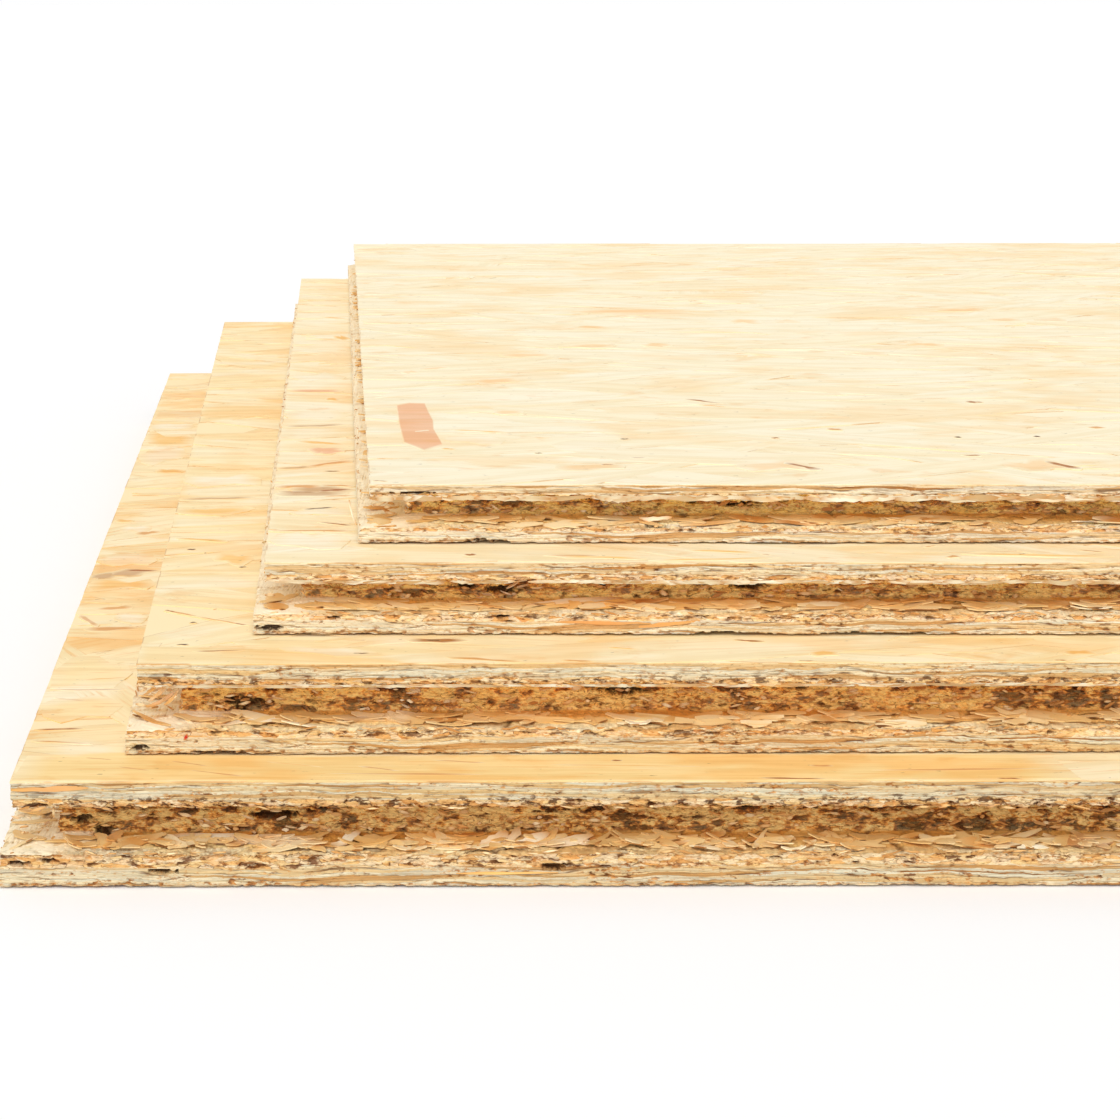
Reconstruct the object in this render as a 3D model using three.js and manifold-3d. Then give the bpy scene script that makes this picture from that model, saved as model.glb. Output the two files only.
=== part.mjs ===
// A stepped stack of four tongue-and-groove OSB panels, in millimetres, +Z up.
//
// X runs along the long edges and Y across them, from the grooved long edge at the front
// to the tongued one at the back. The left short edge is grooved too, and the right one
// has a tongue. Each panel lies on the one below, moved a little to the right and back.
// The origin is the middle of the bottom panel's underside.

import * as THREE from 'three';
import { mergeVertices } from 'three/addons/utils/BufferGeometryUtils.js';
import Module from 'manifold-3d';

const wasm = await Module();
wasm.setup();

// What one panel covers once it is laid, measured on its top face.
const COVER_LENGTH = 2500;
const COVER_WIDTH = 675;

// The milled edges. Reaches are measured from the top face's edge.
const LIP_STEP = 3; // the lower lip stands out this much further than the upper one
const GROOVE_DEPTH = 10;
const GROOVE_CORNER_RADIUS = 1.2;
const FLANK_ANGLE = 5; // degrees by which each flank of groove and tongue closes inwards
const NOSE_RADIUS = 2;
const NOSE_CLEARANCE = 1; // left at the bottom of the groove
const FLANK_CLEARANCE = 0.15; // left on each side of the tongue
const UNDERSIDE_JOINT = 0.5; // open joint that laid panels leave underneath

// Hand-stacked panels touch on their high spots only.
const PANEL_GAP = 0.3;

const ARC_SEGMENTS = 4;
const CUTTER_OVERRUN = 5; // how far each milling pass runs past the panel's corners

const BOTTOM_THICKNESS = 25;
const LOWER_MIDDLE_THICKNESS = 22;
const UPPER_MIDDLE_THICKNESS = 18;
const TOP_THICKNESS = 15;

// The height of the groove's opening, in the two thick panels and in the two thin ones.
const THICK_PANEL_MOUTH = 9.8;
const THIN_PANEL_MOUTH = 7.4;

// The height of the groove's middle over the panel's mid-plane.
const BOTTOM_LIFT = 0.8;
const MIDDLE_LIFT = 0.3;
const TOP_LIFT = 0.5;

// Each step runs from the corner of the panel below.
const LOWER_MIDDLE_STEP_RIGHT = 28.5;
const LOWER_MIDDLE_STEP_BACK = 24;
const UPPER_MIDDLE_STEP_RIGHT = 30.5;
const UPPER_MIDDLE_STEP_BACK = 31;
const TOP_STEP_RIGHT = 27;
const TOP_STEP_BACK = 25;

// From the bottom up. turn is the panel's angle about its own front left corner.
const PANELS = [
  {
    name: 'bottom_panel',
    thickness: BOTTOM_THICKNESS,
    mouth: THICK_PANEL_MOUTH,
    lift: BOTTOM_LIFT,
    stepRight: 0,
    stepBack: 0,
    turn: 0,
    color: 0xf2cb8e,
  },
  {
    name: 'lower_middle_panel',
    thickness: LOWER_MIDDLE_THICKNESS,
    mouth: THICK_PANEL_MOUTH,
    lift: MIDDLE_LIFT,
    stepRight: LOWER_MIDDLE_STEP_RIGHT,
    stepBack: LOWER_MIDDLE_STEP_BACK,
    turn: 0.2,
    color: 0xf3d7a2,
  },
  {
    name: 'upper_middle_panel',
    thickness: UPPER_MIDDLE_THICKNESS,
    mouth: THIN_PANEL_MOUTH,
    lift: MIDDLE_LIFT,
    stepRight: UPPER_MIDDLE_STEP_RIGHT,
    stepBack: UPPER_MIDDLE_STEP_BACK,
    turn: -0.45,
    color: 0xf5deb0,
  },
  {
    name: 'top_panel',
    thickness: TOP_THICKNESS,
    mouth: THIN_PANEL_MOUTH,
    lift: TOP_LIFT,
    stepRight: TOP_STEP_RIGHT,
    stepBack: TOP_STEP_BACK,
    turn: -0.45,
    color: 0xf8ecd2,
  },
];

const TONGUE_LENGTH = GROOVE_DEPTH - NOSE_CLEARANCE;
const SHOULDER_STEP = LIP_STEP + UNDERSIDE_JOINT;
const FLANK_SLOPE = Math.tan(THREE.MathUtils.degToRad(FLANK_ANGLE));

// Ends a groove or a tongue with two rounded corners, from its upper flank down
// (side 1) or from its lower flank up (side -1).
function addRoundedEnd(outline, root, reach, middle, halfHeight, radius, side) {
  const end = root + reach;
  const bend = end - radius;
  const bendHeight = side * halfHeight(reach - radius);
  const cornerHeight = side * halfHeight(reach);
  const flatHeight = side * (halfHeight(reach) - radius);
  outline.lineTo(bend, middle + bendHeight);
  outline.quadraticCurveTo(end, middle + cornerHeight, end, middle + flatHeight);
  outline.lineTo(end, middle - flatHeight);
  outline.quadraticCurveTo(end, middle - cornerHeight, bend, middle - bendHeight);
}

// The panel's section from its grooved edge, at 0, to its tongued edge, at cover.
function sectionOutline(panel, cover) {
  const middle = panel.thickness / 2 + panel.lift;
  const grooveHalf = (reach) => panel.mouth / 2 - FLANK_SLOPE * reach;
  const tongueHalf = (reach) => grooveHalf(reach) - FLANK_CLEARANCE;

  const outline = new THREE.Shape();
  outline.moveTo(-LIP_STEP, 0);
  outline.lineTo(cover - SHOULDER_STEP, 0);
  outline.lineTo(cover - SHOULDER_STEP, middle - tongueHalf(-SHOULDER_STEP));
  addRoundedEnd(outline, cover, TONGUE_LENGTH, middle, tongueHalf, NOSE_RADIUS, -1);
  outline.lineTo(cover, middle + tongueHalf(0));
  outline.lineTo(cover, panel.thickness);
  outline.lineTo(0, panel.thickness);
  outline.lineTo(0, middle + grooveHalf(0));
  addRoundedEnd(outline, 0, GROOVE_DEPTH, middle, grooveHalf, GROOVE_CORNER_RADIUS, 1);
  outline.lineTo(-LIP_STEP, middle - grooveHalf(-LIP_STEP));
  return outline;
}

// A section drawn over two axes and carried along a third, past both ends of a panel
// that covers the given length that way.
function milledPrism(outline, across, along, cover) {
  const length = LIP_STEP + cover + TONGUE_LENGTH + 2 * CUTTER_OVERRUN;
  const geometry = new THREE.ExtrudeGeometry(outline, {
    depth: length,
    bevelEnabled: false,
    curveSegments: ARC_SEGMENTS,
  });
  const up = new THREE.Vector3(0, 0, 1);
  const carried = new THREE.Vector3().crossVectors(across, up);
  const start = carried.dot(along) > 0 ? 0 : length;
  geometry.applyMatrix4(new THREE.Matrix4().makeBasis(across, up, carried));
  const offset = along.clone().multiplyScalar(start - LIP_STEP - CUTTER_OVERRUN);
  geometry.translate(offset.x, offset.y, offset.z);
  return geometry;
}

function toSolid(geometry) {
  const bare = geometry.clone();
  bare.deleteAttribute('normal');
  bare.deleteAttribute('uv');
  const merged = mergeVertices(bare);
  return new wasm.Manifold(new wasm.Mesh({
    numProp: 3,
    vertProperties: new Float32Array(merged.attributes.position.array),
    triVerts: new Uint32Array(merged.index.array),
  }));
}

function toGeometry(solid) {
  const mesh = solid.getMesh();
  const geometry = new THREE.BufferGeometry();
  geometry.setAttribute('position', new THREE.BufferAttribute(mesh.vertProperties, 3));
  geometry.setIndex(new THREE.BufferAttribute(mesh.triVerts, 1));
  const faceted = geometry.toNonIndexed();
  faceted.computeVertexNormals();
  return faceted;
}

// Both pairs of edges are milled over their whole length, so a panel is what its section
// across the long edges and its section across the short edges have in common. Its own
// origin is the top face's front left corner, brought down to the underside.
function panelGeometry(panel) {
  const alongX = new THREE.Vector3(1, 0, 0);
  const alongY = new THREE.Vector3(0, 1, 0);
  const longEdges = milledPrism(sectionOutline(panel, COVER_WIDTH), alongY, alongX, COVER_LENGTH);
  const shortEdges = milledPrism(sectionOutline(panel, COVER_LENGTH), alongX, alongY, COVER_WIDTH);
  return toGeometry(toSolid(longEdges).intersect(toSolid(shortEdges)));
}

function panelMesh(panel) {
  const material = new THREE.MeshStandardMaterial({
    color: panel.color,
    roughness: 0.85,
    metalness: 0,
  });
  const mesh = new THREE.Mesh(panelGeometry(panel), material);
  mesh.name = panel.name;
  return mesh;
}

const stack = new THREE.Group();
stack.position.set(-COVER_LENGTH / 2, -COVER_WIDTH / 2, 0);

const corner = new THREE.Vector3();
for (const panel of PANELS) {
  corner.x += panel.stepRight;
  corner.y += panel.stepBack;
  const mesh = panelMesh(panel);
  mesh.position.copy(corner);
  mesh.rotation.z = THREE.MathUtils.degToRad(panel.turn);
  stack.add(mesh);
  corner.z += panel.thickness + PANEL_GAP;
}

export default stack;
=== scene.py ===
"""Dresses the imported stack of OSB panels: pressed strands on the faces, and edges whose
cut strands, voids, torn fibres and chips are real relief.

Each panel is built in its own millimetres: x along the long edges from the front left
corner of its top face, y across them and z up from its underside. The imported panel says
where that corner lies and which outlines the milled edges have.
"""

import math
from types import SimpleNamespace

import bpy
import numpy as np
from mathutils import Matrix, Vector


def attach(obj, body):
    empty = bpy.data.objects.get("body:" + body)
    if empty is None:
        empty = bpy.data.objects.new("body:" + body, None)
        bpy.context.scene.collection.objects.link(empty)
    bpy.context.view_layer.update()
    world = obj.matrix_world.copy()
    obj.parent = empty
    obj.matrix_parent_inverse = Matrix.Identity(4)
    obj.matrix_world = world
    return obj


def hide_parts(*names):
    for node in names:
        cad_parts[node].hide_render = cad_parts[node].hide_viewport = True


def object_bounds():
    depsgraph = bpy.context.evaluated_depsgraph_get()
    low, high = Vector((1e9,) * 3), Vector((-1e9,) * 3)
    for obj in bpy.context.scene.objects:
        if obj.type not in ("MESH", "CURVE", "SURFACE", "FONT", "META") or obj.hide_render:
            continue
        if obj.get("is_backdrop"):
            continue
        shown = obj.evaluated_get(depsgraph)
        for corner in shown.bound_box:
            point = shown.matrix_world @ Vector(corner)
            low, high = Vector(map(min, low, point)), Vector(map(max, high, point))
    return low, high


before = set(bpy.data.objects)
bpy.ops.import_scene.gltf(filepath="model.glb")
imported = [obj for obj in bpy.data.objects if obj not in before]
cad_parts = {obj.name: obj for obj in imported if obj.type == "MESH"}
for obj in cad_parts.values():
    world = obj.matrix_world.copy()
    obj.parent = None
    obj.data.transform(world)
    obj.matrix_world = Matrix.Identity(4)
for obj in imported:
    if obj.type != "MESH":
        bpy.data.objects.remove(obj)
cad_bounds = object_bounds()

MM = 0.001
EDGE_REACH = 20  # every milled edge lies within this much of the top face's border, in mm
SAME_PLACE = 0.01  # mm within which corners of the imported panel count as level

# The photograph's camera, beside the front left corner of the stack.
PHOTO_SIZE = 1120  # pixels each way
FOCAL_PIXELS = 2569.7
PRINCIPAL_PIXEL_X = 318.0
SENSOR_WIDTH = 36.0
CAMERA_FROM_CORNER = (72.57, -578.57)  # mm from the bottom panel's corner
CAMERA_ABOVE_STACK = 123.5  # mm
CAMERA_PITCH = 12.313  # degrees below the horizon
CAMERA_ROLL = -0.096
CLIP_START, CLIP_END = 0.01, 100  # metres


def srgb(red, green, blue):
    """A colour written as 0 to 255 on screen, as the linear values that shaders take."""
    channels = np.array([red, green, blue]) / 255
    linear = np.where(channels <= 0.04045, channels / 12.92, ((channels + 0.055) / 1.055) ** 2.4)
    return (*linear.tolist(), 1.0)


def colors(*rows):
    return [srgb(*row) for row in rows]


def stops(*rows):
    """A colour ramp's stops, from rows of a position and a colour."""
    return [(position, srgb(*color)) for position, *color in rows]


# ------------ panels from the frame


def unique_path(reach, height):
    """An edge's outline as (reach, height) rows from the top face down."""
    rows = np.unique(np.round(np.column_stack([-height, reach]), 3), axis=0)
    return np.column_stack([rows[:, 1], -rows[:, 0]])


def reach_at(path, height):
    return np.interp(height, path[::-1, 1], path[::-1, 0])


class Panel:
    """Where one packed panel lies, and what its milled edges look like."""

    def __init__(self, node):
        self.node = node
        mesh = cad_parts[node].data
        points = np.array([vertex.co for vertex in mesh.vertices]) / MM
        self.base = points[:, 2].min()
        self.thickness = points[:, 2].max() - self.base
        top = points[points[:, 2] > points[:, 2].max() - SAME_PLACE, :2]
        self.corner = top[np.argmin(top.sum(axis=1))]
        to_right = top[np.argmax(top[:, 0] - top[:, 1])] - self.corner
        to_back = top[np.argmax(top[:, 1] - top[:, 0])] - self.corner
        self.length = np.linalg.norm(to_right)
        self.width = np.linalg.norm(to_back)
        self.along = to_right / self.length
        self.across = np.array([-self.along[1], self.along[0]])
        y = (points[:, :2] - self.corner) @ self.across
        z = points[:, 2] - self.base
        front = y < EDGE_REACH
        back = y > self.width - EDGE_REACH
        self.groove = unique_path(y[front], z[front])
        self.tongue = unique_path(y[back] - self.width, z[back])

    def place(self, local):
        """Points in the panel's own millimetres as metres in the frame."""
        flat = self.corner + local[:, :1] * self.along + local[:, 1:2] * self.across
        return np.column_stack([flat, local[:, 2] + self.base]) * MM

    def local_flat(self, metres):
        """The x and y of points in the frame, in the panel's own millimetres."""
        flat = metres[:, :2] / MM - self.corner
        return np.column_stack([flat @ self.along, flat @ self.across])


# ------------ texture and maths nodes


def maths(operation):
    return lambda value, other: value.nodes.math(operation, value, other)


class Value:
    """A node's output, whose sums, differences and products are maths nodes."""

    def __init__(self, nodes, socket):
        self.nodes = nodes
        self.socket = socket

    __add__ = maths("ADD")
    __sub__ = maths("SUBTRACT")
    __mul__ = maths("MULTIPLY")
    __pow__ = maths("POWER")
    __gt__ = maths("GREATER_THAN")

    def __rsub__(self, other):
        return self.nodes.math("SUBTRACT", other, self)

    def step(self, low, high, out_low=0.0, out_high=1.0):
        """This taken from between low and high to between out_low and out_high, smoothly."""
        node = self.nodes.add("ShaderNodeMapRange", interpolation_type="SMOOTHSTEP")
        return self.nodes.fed(node, self, low, high, out_low, out_high)


class Nodes:
    """Adds texture and maths nodes, alike in a material and in a geometry node tree."""

    def __init__(self, tree):
        self.tree = tree
        self.in_material = tree.bl_idname == "ShaderNodeTree"

    def add(self, kind, **settings):
        node = self.tree.nodes.new(kind)
        for name, value in settings.items():
            setattr(node, name, value)
        return node

    def feed(self, socket, value):
        if isinstance(value, Value):
            self.tree.links.new(value.socket, socket)
        else:
            socket.default_value = value

    def fed(self, node, *values):
        """A node's first output, once its first inputs have their values."""
        for socket, value in zip(node.inputs, values):
            self.feed(socket, value)
        return Value(self, node.outputs[0])

    def attribute(self, name, vector=False):
        if self.in_material:
            node = self.add("ShaderNodeAttribute", attribute_name=name)
            return Value(self, node.outputs["Vector" if vector else "Fac"])
        kind = "FLOAT_VECTOR" if vector else "FLOAT"
        node = self.add("GeometryNodeInputNamedAttribute", data_type=kind)
        node.inputs["Name"].default_value = name
        return Value(self, node.outputs["Attribute"])

    def math(self, operation, first, second=0.0, third=0.0):
        return self.fed(self.add("ShaderNodeMath", operation=operation), first, second, third)

    def vector(self, operation, first, second):
        return self.fed(self.add("ShaderNodeVectorMath", operation=operation), first, second)

    def combine(self, x, y, z):
        return self.fed(self.add("ShaderNodeCombineXYZ"), x, y, z)

    def per_mm(self, point, size):
        """A point in mm, counted in lengths of the given size each way."""
        return self.vector("MULTIPLY", point, tuple(1 / length for length in size))

    def noise(self, point, size=None, detail=2.0, roughness=0.5):
        """A noise of the given size in mm each way, from 0 to 1."""
        point = self.per_mm(point, size) if size else point
        node = self.add("ShaderNodeTexNoise")
        self.feed(node.inputs["Vector"], point)
        node.inputs["Scale"].default_value = 1.0
        node.inputs["Detail"].default_value = detail
        node.inputs["Roughness"].default_value = roughness
        return Value(self, node.outputs[0])

    def sway(self, point, size, reach, detail=2.0):
        """A noise from -reach / 2 to reach / 2."""
        return (self.noise(point, size, detail) - 0.5) * reach

    def patches(self, point, size, low, high, out_low=0.0, out_high=1.0, **noise):
        """A noise taken from between low and high to between out_low and out_high, smoothly."""
        return self.noise(point, size, **noise).step(low, high, out_low, out_high)

    def voronoi(self, point, output, feature="F1"):
        node = self.add("ShaderNodeTexVoronoi", feature=feature)
        self.feed(node.inputs["Vector"], point)
        node.inputs["Scale"].default_value = 1.0
        return Value(self, node.outputs[output])

    def mix(self, factor, first, second, kind="FLOAT", blend="MIX"):
        node = self.add("ShaderNodeMix", data_type=kind)
        if kind == "RGBA":
            node.blend_type = blend
        sockets = {"FLOAT": (0, 2, 3, 0), "VECTOR": (0, 4, 5, 1), "RGBA": (0, 6, 7, 2)}[kind]
        for number, value in zip(sockets, (factor, first, second)):
            self.feed(node.inputs[number], value)
        return Value(self, node.outputs[sockets[3]])

    def painted(self, under, amount, over):
        return self.mix(amount, under, over, "RGBA")

    def shaded(self, tone, shade):
        return self.mix(1.0, tone, shade, "RGBA", "MULTIPLY")

    def ramp(self, factor, ramp_stops):
        node = self.add("ShaderNodeValToRGB")
        elements = node.color_ramp.elements
        while len(elements) < len(ramp_stops):
            elements.new(1.0)
        for element, (position, color) in zip(elements, ramp_stops):
            element.position = position
            element.color = color
        return self.fed(node, factor)


def new_material(name, roughness, specular=0.5):
    """A material, its nodes and its shader's base colour."""
    material = bpy.data.materials.new(name)
    material.use_nodes = True
    shader = material.node_tree.nodes["Principled BSDF"]
    shader.inputs["Roughness"].default_value = roughness
    shader.inputs["Specular IOR Level"].default_value = specular
    return material, Nodes(material.node_tree), shader.inputs["Base Color"]


# ------------ the pressed strands inside

FACE_STRAND = (34.0, 13.0, 0.62)  # mm along, across and through a pressed strand
CORE_STRAND = (3.4, 40.0, 0.75)  # core strands lie across the panel and show their ends
FLOOR_STRAND = (26.0, 4.5, 4.0)
CORE_HALF = 0.31  # how far the core reaches from the middle, as a share of the thickness
CORE_WANDER = 0.13
CORE_BLUR = 0.015
LAYER_SWAY = 4.6  # mm by which the layers rise and fall
SMALL_SWAY = 1.9
FLOOR_SWAY = 34.0  # mm by which the strands on a groove's floor wander across it
GAP_WIDTH = (0.08, 0.05)  # as shares of a strand, on the outer layers and in the core
UNDERSIDE_FROM = -0.5  # shares of the thickness, from the middle
UNDERSIDE_TO = -0.45
UNDERSIDE_CRUMBS = 0.14
PIT_RAGGED = 2.4
DEEP_RAGGED = 0.9

# How deep the relief is, in mm. A pair goes from the outer layers to the core.
UNEVEN_DEPTH = (0.2, 0.7)
GAP_DEPTH = (0.34, 0.5)
SPECK_DEPTH = (0.7, 1.3)
SPECK_DEPTH_ON_FLOOR = 0.4
SPECK_LEVEL = 0.45  # the noise at which a speck's depth is nothing
HOLLOW_DEPTH = (0.9, 2.2)  # at the lips, and deep in the groove
HOLLOW_OFF_WALL = 0.14  # what is left of a hollow away from the core's wall
FLOOR_UNEVEN = 0.6
CRUMB_DEPTH = 0.4
CHIP_DEPTH = 1.5
PIT_DEPTH = 2.6
LEDGE_RELIEF = 0.65  # what is left of the relief on the ledge, pale with painted light


def strand_field(nodes):
    """The strands that a cut through the panel meets, from each point's undisturbed place."""
    rest = nodes.attribute("rest", vector=True)
    floor = nodes.attribute("floor")
    share = nodes.attribute("share")
    pit = nodes.attribute("pit")
    from_middle = nodes.math("ABSOLUTE", share) + nodes.sway(rest, (24, 24, 3), CORE_WANDER)
    core = from_middle.step(CORE_HALF - CORE_BLUR, CORE_HALF + CORE_BLUR, 1.0, 0.0)
    small = nodes.sway(rest, (11, 11, 5), SMALL_SWAY)
    rise = nodes.sway(rest, (42, 24, 14), LAYER_SWAY, detail=3.0) + small
    drift = nodes.sway(rest, (30, 30, 30), FLOOR_SWAY)
    bent = nodes.vector("ADD", rest, nodes.combine(0.0, 0.0, rise))
    drifted = nodes.vector("ADD", rest, nodes.combine(0.0, drift, 0.0))
    in_core = core > 0.5
    face_point, core_point = (nodes.per_mm(bent, size) for size in (FACE_STRAND, CORE_STRAND))
    point = nodes.mix(in_core, face_point, core_point, "VECTOR")
    point = nodes.mix(floor > 0.5, point, nodes.per_mm(drifted, FLOOR_STRAND), "VECTOR")
    cell = nodes.fed(nodes.add("ShaderNodeSeparateXYZ"), nodes.voronoi(point, "Color"))
    border = nodes.voronoi(point, "Distance", feature="DISTANCE_TO_EDGE")
    gap = border.step(0.0, nodes.mix(core, *GAP_WIDTH), 1.0, 0.0)
    near_underside = share.step(UNDERSIDE_FROM, UNDERSIDE_TO, UNDERSIDE_CRUMBS, 0.0)
    crowded = (nodes.noise(rest, (17, 17, 3)) + near_underside).step(0.44, 0.62)
    crumbs = nodes.patches(rest, (2.1, 2.1, 0.85), 0.52, 0.61, detail=3.0, roughness=0.62)
    torn = (pit + nodes.sway(rest, (1.7, 1.7, 0.8), PIT_RAGGED, detail=3.0)).step(0.3, 0.66)
    deep = nodes.attribute("deep") + nodes.sway(rest, (9, 9, 3.5), DEEP_RAGGED, detail=3.0)
    return SimpleNamespace(
        rest=rest, share=share, core=core, floor=floor, in_core=in_core, uneven=cell,
        hue=Value(nodes, cell.socket.node.outputs[1]),
        gap=gap * nodes.patches(rest, (9, 9, 0.9), 0.44, 0.57),
        hollow=nodes.noise(rest, (5.0, 5.0, 1.5), detail=4.0, roughness=0.62),
        speck=nodes.noise(rest, (1.5, 1.5, 0.42), roughness=0.6),
        crumbs=crowded * crumbs,
        pit=torn * pit.step(0.02, 0.2),
        ledge=nodes.attribute("ledge"),
        deep=deep.step(0.12, 0.8),
    )


def relief_depth(nodes, field):
    """How far, in mm, a milled edge is torn back at each point."""
    core, floor = field.core, field.floor
    on_wall = core * (1.0 - floor)
    uneven = field.uneven * nodes.mix(core, *UNEVEN_DEPTH) * nodes.mix(floor, 1.0, FLOOR_UNEVEN)
    inner = uneven + field.gap * nodes.mix(core, *GAP_DEPTH)
    hollow = field.hollow.step(0.54, 0.7, 0.0, nodes.mix(field.deep, *HOLLOW_DEPTH))
    hollow = hollow * nodes.mix(on_wall, HOLLOW_OFF_WALL, 1.0)
    rough = nodes.mix(floor, nodes.mix(core, *SPECK_DEPTH), SPECK_DEPTH_ON_FLOOR)
    speck = (field.speck - SPECK_LEVEL) * rough + field.crumbs * CRUMB_DEPTH
    chips = {"detail": 4.0, "roughness": 0.6, "out_high": CHIP_DEPTH}
    chip = nodes.patches(field.rest, (4, 4, 2), 0.46, 0.74, **chips) * nodes.attribute("brink")
    calmed = (inner + hollow + (speck + chip)) * nodes.mix(field.ledge, 1.0, LEDGE_RELIEF)
    pitted = nodes.math("MULTIPLY_ADD", field.pit, PIT_DEPTH, calmed)
    return nodes.math("MAXIMUM", pitted, 0.0) * nodes.attribute("relief")


def relief_tree():
    """Geometry nodes that push every point of an edge in by its relief depth."""
    tree = bpy.data.node_groups.new("torn_edges", "GeometryNodeTree")
    for in_out in ("INPUT", "OUTPUT"):
        tree.interface.new_socket("Geometry", in_out=in_out, socket_type="NodeSocketGeometry")
    nodes = Nodes(tree)
    source = nodes.add("NodeGroupInput")
    target = nodes.add("NodeGroupOutput")
    depth = relief_depth(nodes, strand_field(nodes))
    inward = nodes.add("ShaderNodeVectorMath", operation="SCALE")
    nodes.feed(inward.inputs["Vector"], nodes.attribute("out", vector=True))
    nodes.feed(inward.inputs["Scale"], depth * -MM)
    move = nodes.add("GeometryNodeSetPosition")
    tree.links.new(source.outputs[0], move.inputs["Geometry"])
    tree.links.new(inward.outputs[0], move.inputs["Offset"])
    tree.links.new(move.outputs[0], target.inputs[0])
    return tree


LIP_TONES = stops(
    (0.0, 176, 122, 70), (0.12, 226, 190, 138), (0.28, 244, 228, 194), (0.44, 232, 230, 216),
    (0.58, 250, 236, 206), (0.72, 228, 218, 198), (0.88, 238, 208, 158), (1.0, 202, 150, 92),
)
GRAIN_TONES = stops(
    (0.0, 236, 176, 108), (0.25, 252, 218, 160), (0.5, 255, 238, 206), (0.75, 252, 228, 196),
    (1.0, 246, 196, 130),
)
FLOOR_TONES = stops(
    (0.0, 246, 208, 148), (0.3, 255, 236, 194), (0.6, 255, 246, 220), (0.8, 255, 234, 188),
    (1.0, 246, 208, 150),
)
WALL_TONES = stops(
    (0.38, 44, 20, 6), (0.4, 86, 42, 12), (0.455, 166, 96, 38), (0.495, 248, 188, 106),
    (0.54, 255, 236, 190),
)
CRUMB_TONES = stops(
    (0.34, 84, 46, 18), (0.46, 158, 98, 44), (0.6, 206, 142, 72), (0.72, 232, 190, 128)
)
FLOOR_SHADE = (0.76, 0.54, 0.3, 1.0)  # painted shade: what the floor's tones are multiplied by, deep inside
WALL_FOOT_PAINTED_SHADE = (1.0, 0.8, 0.25)  # painted shade: what a clean wall's tones are multiplied by at its foot
# painted light: what a clean wall's tones are multiplied by at its top
WALL_TOP_PAINTED_LIGHT = (1.65, 1.55, 0.95)
# painted light: the pale tone of the ledges, lit from the left
LEDGE_LIGHT_TONE = srgb(255, 241, 208)
GAP_TONE = srgb(96, 54, 22)
HOLLOW_TONE = srgb(104, 54, 20)
SPECK_TONE = srgb(194, 138, 74)
PIT_TONE = srgb(78, 42, 16)
FACE_GRAIN = (14, 0.8, 0.2)  # mm along, across and through
CORE_GRAIN = (1.1, 6, 0.3)
WALL_PAINTED_LIGHT = 0.085  # painted light: what a clean wall's granules are lighter by
LIP_BOTTOM = 0.2  # where the upper lip ends, as a share of the thickness from the middle


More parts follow.
